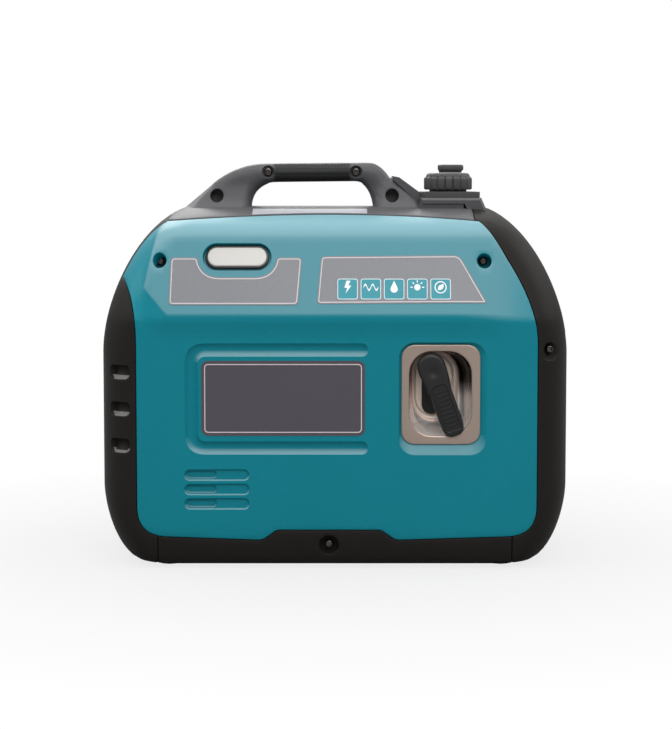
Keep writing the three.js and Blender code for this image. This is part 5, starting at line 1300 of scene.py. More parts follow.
for side, place in ((-1, side_place(-1)), (1, side_place(1))):
    seat = bore_seat(*TRAY_SCREW, TRAY_SEAT, TRAY_SEAT_DEPTH, side)
    tray_parts.append(shell_piece(
        f"tray_side_{'rear' if side > 0 else 'front'}", black_abs, place, TRAY_OUTLINE,
        [circle(*TRAY_SCREW, TRAY_HOLE)], [], (6, 6), 1.2, hole_wall=12, hole_radius=1.0,
        scatter=low_rows, outward=-side, islands=[seat] + ([tray_floor] if side < 0 else [])))
for part in tray_parts:
    dress(part, "bottom_tray")
print("tray sides", [len(part.data.polygons) for part in tray_parts])

# %% [markdown]
# ## Deck and handle
# Each half of the handle is one moulding with its half of the deck. The deck is drawn in plan and
# lifted onto the form. The handle is drawn in side view: its width grows towards the deck in a
# hollow curve, and its long edges are rounded enough for a hand.

# %% Deck and handle halves
HANDLE_TOP = CROWN_HEIGHT + 52.5
HAND_GAP = 0.15
HANDLE_SCREW_HOLE, DRAIN_HOLE = 7.25, 8       # radii
PLINTH_TOP = CROWN_HEIGHT + 2.8  # the filler stands on this ledge of the handle halves
handle_outline = [(-197, 405), (-150, HANDLE_TOP - 27)]
handle_outline += list(quad_curve((-150, HANDLE_TOP - 27), (-120, HANDLE_TOP - 1), (-82, HANDLE_TOP - 1), 12))
handle_outline += [(40, HANDLE_TOP)]
handle_outline += list(quad_curve((40, HANDLE_TOP), (54, HANDLE_TOP), (66, HANDLE_TOP - 18), 8))
handle_outline += [(71.5, HANDLE_TOP - 16.6), (107.5, PLINTH_TOP + 0.8), (155.5, PLINTH_TOP + 0.8),
                   (164, 405), (47.5, 405), (47.5, 419)]
handle_outline += list(quad_curve((47.5, 419), (43.5, 449), (23.5, 449), 8))
handle_outline += [(-69.5, 448)]
handle_outline += list(quad_curve((-69.5, 448), (-99.5, 448), (-102.5, 423), 10))
handle_outline += [(-102.5, 405)]
handle_outline = np.array(handle_outline)
handle_screws = [(HANDLE_LEFT + 116.2, HANDLE_TOP - 11), (HANDLE_LEFT + 222.3, HANDLE_TOP - 11)]
drains = [(HANDLE_LEFT + 54.6, CROWN_HEIGHT + 13), (HANDLE_LEFT + 265.8, CROWN_HEIGHT + 13)]
handle_bores = [circle(*centre, HANDLE_SCREW_HOLE, 28) for centre in handle_screws]
handle_bores += [circle(*centre, DRAIN_HOLE, 28) for centre in drains]


def handle_width(z):
    """Half the handle's thickness at height z; it spreads towards its foot."""
    share = np.clip((447 - z) / 38, 0, 1)
    return 24 + 14 * share ** 1.5 + 20 * share ** 5


FILLER_SEAT = np.array([(101, 408), (154, 408), (154, PLINTH_TOP + 1.2), (101, PLINTH_TOP + 1.2)])


def middle_plane(flat, side):
    """Points of a handle half's inner face, beside the joint."""
    return np.stack((flat[:, 0], np.full(len(flat), side * HAND_GAP), flat[:, 1]), 1)


def handle_place(side):
    """Where the outer face of a handle half lies."""
    point = lambda x, z: np.stack((x, side * handle_width(z), z), 1)
    return with_normals(point, -side)


deck_place = with_normals(lambda x, y: np.stack((x, y, deck_height(x, y)), 1), 1)
deck_x = np.linspace(HANDLE_LEFT, HANDLE_RIGHT, 70)
deck_edge_z = np.interp(deck_x, top_line[:, 0], top_line[:, 1]) + SEAM
deck_edge_y = side_y(deck_x, deck_edge_z)
deck_half = np.vstack((np.stack((deck_x, deck_edge_y), 1), (HANDLE_RIGHT, 27), (112, 27),
                       (112, HAND_GAP), (HANDLE_LEFT, HAND_GAP)))
for side, word in ((-1, "front"), (1, "rear")):
    node = f"handle_{word}_half"
    deck = shell_piece(f"deck_{word}", handle_nylon, deck_place, deck_half * (1, side), [], [], (6, 5),
                       1.2, wall=3)
    bores = handle_bores[2:] if side > 0 else handle_bores
    seats = [bore_seat(*centre, 8.4, 8, side) for centre in drains]
    seats += [bore_seat(*centre, 7.6, 16, side) for centre in handle_screws] if side < 0 else []
    seats.append(plate(FILLER_SEAT, HAND_GAP, 48.2, lambda a, b, c: np.stack((a, side * c, b), 1), side > 0))
    grip = shell_piece(
        f"handle_{word}", handle_nylon, handle_place(side), handle_outline, bores, [], (5, 3.5),
        11.4, hole_radius=1.0, outward=-side, inner=lambda flat: middle_plane(flat, side), islands=seats)
    for part in (deck, grip):
        dress(part, node)
    print(node, len(deck.data.polygons), len(grip.data.polygons))

# %% [markdown]
# ## Metals, rubber and printed film
# The starter's dish is pressed from nickel plated steel: flat where the press closed on it and
# mirror bright where the sheet was drawn. Screws are black oxide steel, the engine is cast
# aluminium, the exhaust's end is discoloured by heat. Rubber is almost black, matt and faintly
# dusty. The name plates are printed film with a satin varnish.

# %% Metals
def metal(name, colour, roughness, grain=(40, 40, 900), bump=0.08, spread=0.12, tone=0.08, metallic=1.0):
    """Metal with fine scratches; grain gives how quickly they change along X, Y and Z."""
    material, tree, shader = new_material(name, {"Metallic": metallic})
    place = add_node(tree, "ShaderNodeTexCoord")
    stretch = add_node(tree, "ShaderNodeVectorMath", {"operation": "MULTIPLY", 1: grain},
                       {0: place.outputs["Object"]})
    scratch = add_node(tree, "ShaderNodeTexNoise", {"Scale": 1.0, "Detail": 4.0, "Roughness": 0.65},
                       {"Vector": stretch.outputs[0]})
    rough = add_node(tree, "ShaderNodeMapRange", {"To Min": max(0.02, roughness - spread),
                     "To Max": roughness + spread}, {"Value": scratch.outputs["Fac"]})
    tree.links.new(rough.outputs[0], shader.inputs["Roughness"])
    shade = add_node(tree, "ShaderNodeMapRange", {"To Min": 1 - tone, "To Max": 1 + tone},
                     {"Value": scratch.outputs["Fac"]})
    base = add_node(tree, "ShaderNodeVectorMath", {"operation": "SCALE", 0: linear(colour)[:3]},
                    {"Scale": shade.outputs[0]})
    tree.links.new(base.outputs[0], shader.inputs["Base Color"])
    ridge = add_node(tree, "ShaderNodeBump", {"Strength": bump, "Distance": 0.0002},
                     {"Height": scratch.outputs["Fac"]})
    tree.links.new(ridge.outputs[0], shader.inputs["Normal"])
    return material


pressed_steel = metal("pressed_steel", "#aa988d", 0.4, (30, 30, 260), 0.02, 0.04, 0.03, metallic=0.7)
badge_steel = metal("badge_steel", "#b2b0ac", 0.34, (60, 60, 1200), 0.05, 0.06, 0.03, metallic=0.18)
black_steel = metal("black_steel", "#353536", 0.36, (500, 500, 500), 0.1)
screw_steel = metal("screw_steel", "#625c59", 0.26, (400, 400, 400), 0.02)
brass = metal("brass", "#c9a14e", 0.3, (300, 300, 300), 0.06)
cast_aluminium = metal("cast_aluminium", "#9fa2a4", 0.5, (350, 350, 350), 0.5, 0.1, 0.12)
copper = metal("copper", "#b5683f", 0.32, (1500, 40, 40), 0.4)
tank_steel = metal("tank_steel", "#4b4e51", 0.42, (45, 45, 45), 0.05, 0.1, 0.18)
print("metals ready")


# %% Rubber, small plastics, ceramic, glass and rope
def heat_tinted(name):
    """Steel that has turned straw, brown and blue towards its hot end."""
    material = metal(name, "#7a6a5c", 0.4, (60, 60, 60), 0.2)
    tree = material.node_tree
    place = add_node(tree, "ShaderNodeTexCoord")
    cloud = add_node(tree, "ShaderNodeTexNoise", {"Scale": 55.0, "Detail": 3.0},
                     {"Vector": place.outputs["Object"]})
    ramp = add_node(tree, "ShaderNodeValToRGB", {}, {"Fac": cloud.outputs["Fac"]})
    for spot, colour in ((0.35, "#4f5566"), (0.5, "#7d6350"), (0.62, "#a08a68")):
        stop_here = ramp.color_ramp.elements.new(spot)
        stop_here.color = linear(colour)
    ramp.color_ramp.elements[0].color = linear("#3b3a3d")
    ramp.color_ramp.elements[-1].color = linear("#8b8378")
    tree.links.new(ramp.outputs["Color"], tree.nodes["Principled BSDF"].inputs["Base Color"])
    return material


def braided(name, dark, light):
    """Rope: strands that run round it in two directions."""
    material, tree, shader = new_material(name, {"Roughness": 0.75})
    place = add_node(tree, "ShaderNodeTexCoord")
    turn = add_node(tree, "ShaderNodeMapping", {"Rotation": (0, 0, math.radians(45))},
                    {"Vector": place.outputs["Object"]})
    weave = add_node(tree, "ShaderNodeTexChecker", {"Scale": 700.0, "Color1": linear(dark),
                     "Color2": linear(light)}, {"Vector": turn.outputs[0]})
    tree.links.new(weave.outputs["Color"], shader.inputs["Base Color"])
    ridge = add_node(tree, "ShaderNodeBump", {"Strength": 0.5, "Distance": 0.0004},
                     {"Height": weave.outputs["Fac"]})
    tree.links.new(ridge.outputs[0], shader.inputs["Normal"])
    return material


rubber = moulded_plastic("rubber", "#1f1f20", 0.8, grain=0.3, width=0.0009, flow=0.1)
grip_nylon = moulded_plastic("grip_nylon", "#1c1c1d", 0.42, grain=0.3, scuff="#2c2c2d")
cap_nylon = moulded_plastic("cap_nylon", "#3d3d3e", 0.5, grain=0.45, scuff="#5a5a5b")
surround_abs = moulded_plastic("surround_abs", "#4a4a4c", 0.48, grain=0.4)
grey_plastic = moulded_plastic("grey_plastic", "#4a4d50", 0.5, grain=0.3)
socket_plastic = moulded_plastic("socket_plastic", "#202224", 0.38, grain=0.15)
red_plastic = moulded_plastic("red_plastic", "#a8231f", 0.35, grain=0.1, flow=0.03)
plug_ceramic = moulded_plastic("plug_ceramic", "#e9e6df", 0.18, grain=0.05, flow=0.02)
display_glass = moulded_plastic("display_glass", "#0b1013", 0.12, grain=0.02, width=0.004, flow=0.3)
display_glass.node_tree.nodes["Principled BSDF"].inputs["Coat Weight"].default_value = 0.6
scorched_steel = heat_tinted("scorched_steel")
rope = braided("rope", "#17181a", "#3c3f42")
grey_film = moulded_plastic("grey_film", "#7a7b80", 0.36, grain=0.08, flow=0.02)
dark_film = moulded_plastic("dark_film", "#4e4a52", 0.33, grain=0.08, flow=0.02)
pale_film = moulded_plastic("pale_film", "#cfc6c8", 0.36, grain=0.05, flow=0.02)
white_film = moulded_plastic("white_film", "#e8ecee", 0.36, grain=0.05, flow=0.02)
label_film = moulded_plastic("label_film", "#a3a4a9", 0.36, grain=0.05, flow=0.05)
teal_film = moulded_plastic("teal_film", "#1c8a98", 0.36, grain=0.05, flow=0.02)
print("materials", len(bpy.data.materials))

# %% [markdown]
# ## Pieces that keep the CAD shape
# Turned, cast and moulded small parts are already right in the CAD model. Those that show get a
# copy with their edges rounded as a mould or a press leaves them. Those inside keep their own mesh
# and only take a material.

# %% Rounded copies
softened_nodes = {
    "filler_surround": (surround_abs, 1.6), "filler_drip_tray": (cap_nylon, 1.2),
    "starter_guide": (grip_nylon, 1.0),
    "control_panel": (grey_plastic, 0.5), "ac_socket_1": (socket_plastic, 0.8),
    "ac_socket_2": (socket_plastic, 0.8), "socket_lid_1": (socket_plastic, 1.0),
    "socket_lid_2": (socket_plastic, 1.0), "dc_socket": (socket_plastic, 0.6),
    "dc_cover": (rubber, 0.8), "engine_switch_knob": (socket_plastic, 1.2),
    "eco_switch": (socket_plastic, 0.5), "reset_button": (red_plastic, 0.6),
    "ground_terminal": (screw_steel, 0.4), "display_module": (display_glass, 0.6),
    "muffler_outlet": (scorched_steel, 0.5), "cylinder": (cast_aluminium, 0.8),
    "crankcase": (cast_aluminium, 1.5), "muffler": (scorched_steel, 2.0),
}
for node, (material, width) in softened_nodes.items():
    softened(node, material, width)
for side_word in ("front", "rear"):
    for end_word in ("left", "right"):
        softened(f"foot_{side_word}_{end_word}", rubber, 1.2)
kept_nodes = {
    "recoil_pulley": black_abs, "recoil_housing": black_steel, "rotor": cast_aluminium,
    "stator": copper, "spark_plug": plug_ceramic, "oil_dipstick": grip_nylon,
    "carburettor": cast_aluminium, "air_filter_box": socket_plastic, "engine_mount": rubber,
    "inner_frame": black_steel, "fuel_tank": tank_steel, "fuel_strainer": brass,
    "inverter_module": cast_aluminium, "cap_gasket": rubber,
}
for node, material in kept_nodes.items():
    mesh = frame["nodes"][node].data
    mesh.materials.clear()
    mesh.materials.append(material)
print("rounded", len(softened_nodes) + 4, "kept", len(kept_nodes))

# %% [markdown]
# ## Starter
# The dish is one sheet: a flat flange, a rolled rim, a wall that is steep at the top and open at
# the bottom, so that fingers reach behind the grip, and a flat floor. The rings of the loft are
# matched by the angle at which they are seen from the dish's middle.

# %% Starter dish
BEZEL_FACE = -SIDE_HALF_DEPTH + POCKET_DEPTH - 1.8
DISH_FLOOR = BEZEL_FACE + 36
SHEET = 1.5
DISH_CENTRE = np.array([PULLEY_X - 0.5, ROPE_Z - 11.0])
STATIONS = 120
angles = np.arange(STATIONS) / STATIONS * 2 * math.pi


def seen_from(centre, loop):
    """The loop's points at evenly spaced angles about a centre."""
    dense = resample(loop, 0.5) - centre
    angle = np.arctan2(dense[:, 1], dense[:, 0]) % (2 * math.pi)
    order = np.argsort(angle)
    radius = np.interp(angles, angle[order], np.linalg.norm(dense, axis=1)[order], period=2 * math.pi)
    return centre + np.stack((radius * np.cos(angles), radius * np.sin(angles)), 1)


def at_depth(flat, y):
    """Points of (x, z) set at one y."""
    return np.stack((flat[:, 0], np.full(len(flat), y), flat[:, 1]), 1)


def satin_where_flat(material, face, floor, bottom):
    """Satin and warm where the press closed on the sheet, and at its polished-out bottom; mirror smooth
    on the drawn wall, whose colour is a painted reflection: dark where it hangs over, near white where
    it faces up or lies low."""
    tree = material.node_tree
    shader = tree.nodes["Principled BSDF"]
    place = add_node(tree, "ShaderNodeTexCoord")
    axes = add_node(tree, "ShaderNodeSeparateXYZ", {}, {"Vector": place.outputs["Object"]})
    near_face = add_node(tree, "ShaderNodeMapRange", {"From Min": (face + 2) * MM,
                         "From Max": (face + 0.6) * MM}, {"Value": axes.outputs["Y"]})
    near_floor = add_node(tree, "ShaderNodeMapRange", {"From Min": (floor - 2.5) * MM,
                          "From Max": (floor - 0.6) * MM}, {"Value": axes.outputs["Y"]})
    low = add_node(tree, "ShaderNodeMapRange", {"From Min": (bottom + 34) * MM,
                   "From Max": (bottom + 14) * MM}, {"Value": axes.outputs["Z"]})
    flat_part = add_node(tree, "ShaderNodeMath", {"operation": "MAXIMUM"},
                         {0: near_face, 1: near_floor})
    satin_part = add_node(tree, "ShaderNodeMath", {"operation": "MAXIMUM"}, {0: flat_part, 1: low})
    rough = add_node(tree, "ShaderNodeMapRange", {"To Min": 0.1, "To Max": 0.4}, {"Value": satin_part})
    tree.links.new(rough.outputs[0], shader.inputs["Roughness"])
    shape = add_node(tree, "ShaderNodeNewGeometry")
    facing = add_node(tree, "ShaderNodeSeparateXYZ", {}, {"Vector": shape.outputs["Normal"]})
    upward = add_node(tree, "ShaderNodeMapRange", {"From Min": 0.15, "From Max": 0.6},
                      {"Value": facing.outputs["Z"]})
    lower = add_node(tree, "ShaderNodeMapRange", {"interpolation_type": "SMOOTHSTEP",
                     "From Min": (bottom + 74) * MM, "From Max": (bottom + 46) * MM},
                     {"Value": axes.outputs["Z"]})
    painted_reflection_share = add_node(tree, "ShaderNodeMath", {"operation": "MAXIMUM"}, {0: upward, 1: lower})
    # Painted reflection: the wall is made dark where it hangs over and near white where it faces up or lies
    # low.
    wall = add_node(tree, "ShaderNodeMix", {"data_type": "RGBA", 6: linear("#2a2725"), 7: linear("#fbf8f6")},
                    {0: painted_reflection_share})
    seat = add_node(tree, "ShaderNodeMix", {"data_type": "RGBA", 7: linear("#efdacd")},
                    {0: near_floor.outputs[0], 6: wall.outputs[2]})
    steel = shader.inputs["Base Color"].links[0].from_socket
    tint = add_node(tree, "ShaderNodeMix", {"data_type": "RGBA"},
                    {0: near_face, 6: seat.outputs[2], 7: steel})
    tree.links.new(tint.outputs[2], shader.inputs["Base Color"])


floor_edge = seen_from(DISH_CENTRE, round_box(DISH_CENTRE[0] - 24, DISH_CENTRE[0] + 24,
                                              DISH_CENTRE[1] - 39.5, DISH_CENTRE[1] + 39.5, 24, 12))
rim_edge = seen_from(DISH_CENTRE, round_box(BEZEL[0] + 8.7, BEZEL[1] - 8.7, BEZEL[2] + 8.7,
                                            BEZEL[3] - 7.2, 27, 12))
flange_edge = seen_from(DISH_CENTRE, round_box(*BEZEL, 15, 12))
floor_steps = ((0.3, 0), (0.6, 0), (0.86, 0), (0.9, 0.2), (0.93, 1.0), (0.96, 1.2), (0.985, 0.8))
rings = [at_depth(DISH_CENTRE + (floor_edge - DISH_CENTRE) * share, DISH_FLOOR - rise)
         for share, rise in floor_steps]
for t in np.linspace(0, 1, 15):
    share = 0.82 * math.sin(t * math.pi / 2) + 0.1 * t
    rise = 1 - math.cos(t * math.pi / 2)
    rings.append(at_depth(floor_edge + (rim_edge - floor_edge) * share, DISH_FLOOR - 35 * rise))
for share, y in ((0.94, 0.55), (0.97, 0.25), (1.0, 0.06)):
    rings.append(at_depth(floor_edge + (rim_edge - floor_edge) * share, BEZEL_FACE + y))
for share, y in ((0.06, 0), (0.5, 0), (0.85, 0), (0.93, 0.1), (0.98, 0.5), (1.0, 1.3)):
    rings.append(at_depth(rim_edge + (flange_edge - rim_edge) * share, BEZEL_FACE + y))
satin_where_flat(pressed_steel, BEZEL_FACE, DISH_FLOOR, BEZEL[2])
dish = mesh_object("starter_dish", *loft_sheet(rings, -SHEET), pressed_steel, 50)
dress(facing_out(dish), "starter_bezel")
print("dish triangles", len(dish.data.polygons))

# %% Starter grip
GRIP_TILT = math.radians(20)
GRIP_HUB = np.array([PULLEY_X - 4.5, ROPE_Z + 13])
GRIP_FACE, GRIP_DEPTH, HUB_RADIUS = -SIDE_HALF_DEPTH - 2.5, 16.0, 16.3


def grip_outline(inset=0.0):
    """The grip upright, hub at the origin: a round head and a straight bar below it."""
    head = [(HUB_RADIUS * math.cos(a), HUB_RADIUS * math.sin(a)) for a in np.linspace(0, math.pi, 17)]
    left = list(quad_curve((-HUB_RADIUS, 0), (-HUB_RADIUS, -17), (-13.2, -31), 6)) + [(-13.2, -68)]
    left += list(quad_curve((-13.2, -68), (-13.2, -84.5), (-1.5, -84.5), 8))
    right = [(-x, z) for x, z in reversed([(-HUB_RADIUS, 0)] + left)]
    loop = np.array(head + left + right[:-1])
    return offset_loop(loop, inset, 2) if inset else resample(loop, 2)


def grip_place(a, b):
    """Points of the grip's face, turned by its tilt round the hub, with their normals."""
    x = GRIP_HUB[0] + a * math.cos(GRIP_TILT) - b * math.sin(GRIP_TILT)
    z = GRIP_HUB[1] + a * math.sin(GRIP_TILT) + b * math.cos(GRIP_TILT)
    points = np.stack((x, np.full(len(x), GRIP_FACE), z), 1)
    return points, np.tile((0.0, -1.0, 0.0), (len(x), 1))


field = soft_polygon([(-9.2, -78, 4), (9.2, -78, 4), (9.2, -22, 6), (-9.2, -22, 6)], 5)
ribs = [round_box(-6.6, 6.6, z - 1.1, z + 1.1, 1.0, 3) for z in np.arange(-71.5, -26, 5.2)]


def grip_relief(flat):
    """Depth of the ribbed field and of the hollow for the thumb."""
    depth = 1.3 * wall_share(flat, field, 1.0)
    for line in ribs:
        depth -= 0.9 * wall_share(flat, line, 0.8)
    thumb = np.clip(1 - np.hypot(flat[:, 0], flat[:, 1] + 6) / 9, 0, 1)
    return depth + 1.6 * thumb ** 2 * (3 - 2 * thumb)


def grip_back(flat):
    """The grip's back face, rounded at its edge."""
    points, _ = grip_place(flat[:, 0], flat[:, 1])
    points[:, 1] += GRIP_DEPTH - edge_drop(distance_to(flat, grip_edge), 4.5)
    return points


grip_edge = grip_outline()
grip_lines = relief_rings(field, (0, 0.5, 1), 1.0)
for line in ribs:
    grip_lines += relief_rings(line, (0, 0.9), 0.8)
grip_lines += [grip_outline(2.6), grip_outline(3.6)]
stem = turned([(6.2, 0), (7, 1), (7, 30), (6.4, 36.4), (5, 36.6)], (PULLEY_X, GRIP_FACE + 4, ROPE_Z), "y", 32)
grip = shell_piece("starter_grip_moulding", grip_nylon, grip_place, grip_edge, [], grip_lines, (2.2, 2.2),
                   4.5, grip_relief, inner=grip_back, step=1.6, islands=[stem])
dress(facing_out(grip), "starter_grip")
rope_y = np.concatenate((np.linspace(0, -100, 8), np.linspace(-103, -122, 40), np.linspace(-126, -150, 5)))
rope_rings = [at_depth(circle(PULLEY_X, ROPE_Z, ROPE_RADIUS, 16), y) for y in rope_y]
rope_piece = facing_out(mesh_object("starter_rope_cover", *loft_solid(rope_rings), rope))
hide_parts("starter_rope")
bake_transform(rope_piece)
print("grip triangles", len(grip.data.polygons))

# %% [markdown]
# ## Filler cap and screws
# Both are turned forms. The cap's skirt has eighteen broad lobes with narrow grooves between them.
# A screw head is a low dome with a hexagon socket, and its rings change from hexagon to circle.

# %% Fuel cap
cap_low, cap_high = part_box("fuel_cap")
CAP_CENTRE = ((cap_low.x + cap_high.x) / 2 / MM, 0, 0)
CAP_BASE, CAP_TOP, CAP_RADIUS, LOBES = cap_low.z / MM, cap_high.z / MM, 29.25, 18


def lobed(angle, radius, level):
    """Grooves down the cap's rim, between its finger lobes."""
    if not CAP_BASE + 0.5 < level < CAP_TOP - 4.5 or radius < 27:
        return np.full(len(angle), float(radius))
    groove = np.abs(np.cos(angle * LOBES / 2)) ** 14
    return radius - 1.9 * groove


cap_profile = [(22, CAP_BASE + 6), (23.6, CAP_BASE + 1), (24.5, CAP_BASE), (27.6, CAP_BASE),
               (28.9, CAP_BASE + 0.7), (CAP_RADIUS, CAP_BASE + 2), (CAP_RADIUS, CAP_TOP - 7.6),
               (CAP_RADIUS - 0.4, CAP_TOP - 6), (27.3, CAP_TOP - 4.6), (26.6, CAP_TOP - 4.2),
               (26.2, CAP_TOP - 2.4), (25.2, CAP_TOP - 1.0), (23.4, CAP_TOP - 0.2), (21, CAP_TOP),
               (8, CAP_TOP)]
cap = mesh_object("fuel_cap_body", *turned(cap_profile, CAP_CENTRE, "z", LOBES * 16, lobed), cap_nylon, 45)
dress(facing_out(cap), "fuel_cap")
print("cap triangles", len(cap.data.polygons))

knob_low, knob_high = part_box("vent_knob")
KNOB_BASE, KNOB_TOP = knob_low.z / MM, knob_high.z / MM
KNOB_RADIUS, KNOB_TIP = CAP_CENTRE[0] - knob_low.x / MM, knob_high.x / MM - CAP_CENTRE[0]


def pointed(angle, radius, level):
    """A disc with one blunt pointer, which shows where the vent stands."""
    tip = (KNOB_TIP - KNOB_RADIUS) * np.maximum(0, np.cos(angle)) ** 5
    return radius / KNOB_RADIUS * (KNOB_RADIUS + tip)


knob_profile = [(KNOB_RADIUS - 1.6, KNOB_BASE), (KNOB_RADIUS - 1.2, KNOB_BASE + 2.6),
                (KNOB_RADIUS - 0.2, KNOB_BASE + 3.4), (KNOB_RADIUS, KNOB_BASE + 4.2),
                (KNOB_RADIUS, KNOB_TOP - 1.8), (KNOB_RADIUS - 0.5, KNOB_TOP - 0.6),
                (KNOB_RADIUS - 1.6, KNOB_TOP), (KNOB_RADIUS - 3.4, KNOB_TOP),
                (KNOB_RADIUS - 4.2, KNOB_TOP - 0.8), (3, KNOB_TOP - 0.8)]
knob = mesh_object("vent_knob_body", *turned(knob_profile, CAP_CENTRE, "z", 64, pointed), cap_nylon, 45)
dress(facing_out(knob), "vent_knob")
print("knob triangles", len(knob.data.polygons))


# %% Screws
def hexagon(angle, flat_radius):
    """Radii of a hexagon, from the distance of its flats."""
    return flat_radius / np.cos((angle + math.pi / 6) % (math.pi / 3) - math.pi / 6)


def screw_ring(angle, radius, level):
    """Round all over, but for the six-sided socket in the head."""
    return hexagon(angle, radius) if radius <= 2.55 and level > -3 else np.full(len(angle), float(radius))


def screw_piece(node):
    """A button-head screw, sunk to the place of its CAD node."""
    low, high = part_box(node)
    side = -1 if node.startswith("handle") or low.y + high.y < 0 else 1
    face = (low.y if side < 0 else high.y) / MM
    length = (high.y - low.y) / MM
    centre = ((low.x + high.x) / 2 / MM, face, (low.z + high.z) / 2 / MM)
    profile = [(0.4, -2.4), (2.35, -2.4), (2.4, -0.25), (2.55, -0.02), (3.0, 0), (3.9, -0.3), (4.6, -1.1),
               (4.95, -2.4), (4.9, -3.9), (2.4, -4.0), (2.4, -length + 0.6), (1.6, -length)]
    piece = mesh_object(node + "_head", *turned(profile, centre, "y", 36, screw_ring, side), screw_steel, 35)
    return dress(facing_out(piece), node)


screws = [node for node in frame["nodes"] if "screw" in node]
for node in sorted(screws):
    screw_piece(node)
print("screws", len(screws))

# %% [markdown]
# ## Badge and printed plates
# The badge sits in its recess, with a dark rim round a domed bright face. The plates are thin films
# that follow the panel, each with a fine pale line inside its edge. They carry no words; the row
# of small teal fields on the right one has simple signs for power, waveform, oil, load and air.

# %% Badge
badge_low, badge_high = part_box("front_badge")
BADGE_LIP, BADGE_RAISE = (3.0, 2.0), 1.0      # the rim reaches over the plate, and sits a little high
BADGE = (badge_low.x / MM - BADGE_LIP[0], badge_high.x / MM + BADGE_LIP[0],
         badge_low.z / MM - BADGE_LIP[1] + BADGE_RAISE, badge_high.z / MM + BADGE_LIP[1] + BADGE_RAISE)


def above_recess(lift):
    """How deep a plate lies under the plain form when it stands lift above the recess's floor."""
    return lambda flat: common_relief(flat) + BADGE_RECESS - lift


badge_rim = shell_piece("badge_rim", black_steel, side_place(-1), round_box(*BADGE, 13.3, 12),
                        [], [], (3, 3), 1.2, above_recess(3.4), wall=2.5, step=2)
dress(badge_rim, "front_badge", slot="badge_steel")
face_line = round_box(BADGE[0] + 2.2, BADGE[1] - 2.2, BADGE[2] + 2.2, BADGE[3] - 2.2, 11.1, 12)
badge_face = shell_piece("badge_face", badge_steel, side_place(-1), face_line, [],
                         [offset_loop(face_line, d, 2) for d in (2.2, 3.2, 4.5, 6)], (2.5, 2.5), 1.8,
                         above_recess(3.8), wall=1.5, step=2)
dress(badge_face)
print("badge", [round(v, 1) for v in BADGE])


# %% Films
def film_body(outline, holes, lift):
    """A thin film that lies on the starter side's relief."""
    outline = resample(unroll_side(outline), 3)
    holes = [resample(unroll_side(hole), 3) for hole in holes]
    low, high = outline.min(0), outline.max(0)
    flat, faces = triangulate(outline, holes, [], grid(low[0], high[0], low[1], high[1], 6, 6), 2.5)
    points, normals = side_place(-1)(flat[:, 0], flat[:, 1])
    front = points - normals * (starter_side_relief(flat) - lift)[:, None]
    return closed_skin(front, front - normals * 0.25, faces)


def film(name, material, shapes, lift):
    """One printed layer: several outlines, each with its holes."""
    bodies = [film_body(outline, holes, lift) for outline, holes in shapes]
    piece = mesh_object(name, *join_parts(bodies), material)
    return dress(piece, slot="badge_steel")


def edge_line(outline, inset, width):
    """A printed line of the given width along the inside of an outline."""
    return offset_loop(outline, inset, 2), [offset_loop(outline, inset + width, 2)]


# %% Name plate and the two plates on the band
# How far each layer stands off the panel; a layer that lies on another one stands further off.
PLATE_LIFT, LINE_LIFT, FIELD_LIFT, MARK_LIFT = 0.35, 0.47, 0.5, 0.62
plate_line = round_box(-154.5, 34.7, 156, 243, 8)
left_plate = soft_polygon([
    (-190, 360, 5), (-159, 360, 4), (-157.5, 352, 4), (-151, 341, 9), (-138, 337.5, 6), (-88, 337.5, 6),
    (-75, 341, 9), (-68.5, 352, 4), (-67, 360, 4), (-38, 360, 5), (-42.7, 306, 5), (-191.6, 306, 5)], 5)[::-1]
right_plate = soft_polygon([(-16, 361.4, 5), (144, 362.6, 7), (175.4, 308.4, 4), (-20.8, 307.2, 5)], 5)[::-1]
film("name_plate", dark_film, [(plate_line, [])], PLATE_LIFT)
film("name_plate_line", pale_film, [edge_line(plate_line, 3.6, 1.1)], LINE_LIFT)
film("band_plates", grey_film, [(left_plate, []), (right_plate, [])], PLATE_LIFT)
film("band_plate_lines", pale_film, [edge_line(plate, 1.3, 1.0) for plate in (left_plate, right_plate)],
     LINE_LIFT)

# %% Five signs
SIGN_SIZE, SIGN_PITCH, SIGN_X, SIGN_Z = 24.0, 26.8, 14.6, 324.0
sign_fields = [round_box(SIGN_X + k * SIGN_PITCH - SIGN_SIZE / 2, SIGN_X + k * SIGN_PITCH + SIGN_SIZE / 2,
                         SIGN_Z - SIGN_SIZE / 2, SIGN_Z + SIGN_SIZE / 2, 3) for k in range(5)]


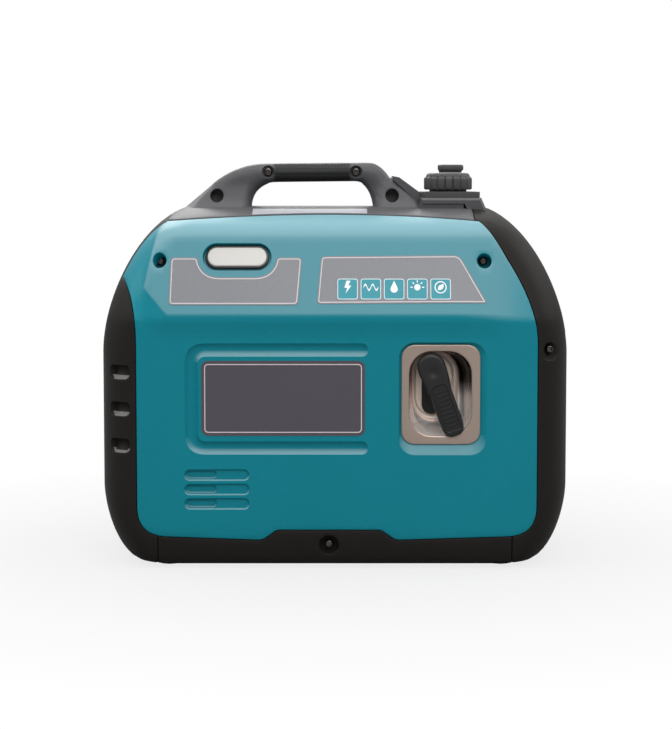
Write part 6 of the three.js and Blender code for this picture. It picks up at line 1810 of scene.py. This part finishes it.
def moved(points, k):
    """A mark's points, moved to the middle of field k."""
    return np.array(points, float) + (SIGN_X + k * SIGN_PITCH, SIGN_Z + 2)


bolt = [(-1.2, 7.5), (-3.8, -0.6), (-0.5, -0.6), (-2.2, -7), (4.2, 2), (0.9, 2), (3.2, 7.5)]
run = np.linspace(-8.5, 8.5, 41)
swing = 3.2 * np.sin(run / 8.5 * 2 * math.pi)
wave = np.concatenate((np.stack((run, swing - 1.1), 1), np.stack((run, swing + 1.1), 1)[::-1]))
bottom = np.radians(np.linspace(150, 390, 17))
drop = np.concatenate((np.stack((4.2 * np.cos(bottom), 4.2 * np.sin(bottom) - 2), 1), [(0, 7.5)]))
rays = []
for angle in np.radians((0, 45, 90, 135, 180)):
    along = np.array((math.cos(angle), math.sin(angle)))
    across = np.array((-math.sin(angle), math.cos(angle)))
    rays.append([along * r + across * w for r, w in ((5.4, -0.6), (8, -0.6), (8, 0.6), (5.4, 0.6))])
leaf = np.concatenate((quad_curve((-3, -3.4), (4.5, -3), (3.4, 3.6), 8),
                       quad_curve((3.4, 3.6), (-4, 3), (-3, -3.4), 8)))
signs = [(moved(bolt, 0), []), (moved(wave, 1), []), (moved(drop, 2), []),
         (moved(circle(0, 0, 3.6, 20), 3), []),
         (moved(circle(0, 0, 7, 28), 4), [moved(circle(0, 0, 5.8, 28), 4)]), (moved(leaf, 4), [])]
signs += [(moved(ray_line, 3), []) for ray_line in rays]
film("sign_fields", teal_film, [(field_line, []) for field_line in sign_fields], FIELD_LIFT)
borders = [edge_line(field_line, 0.3, 0.7) for field_line in sign_fields]
film("sign_marks", white_film, signs + borders, MARK_LIFT)
label_span = (deck_x > -99) & (deck_x < 40)
label_edge = np.stack((deck_x, -np.abs(deck_edge_y) + 1.4), 1)[label_span]
deck_label = shell_piece("deck_label", label_film, deck_place,
                         np.vstack((label_edge, [(label_edge[-1, 0], -54), (label_edge[0, 0], -54)])), [], [],
                         (6, 5), 0, lambda flat: np.full(len(flat), -PLATE_LIFT), wall=0.25)
dress(deck_label, slot="badge_steel")
print("plates ready, signs", len(signs))
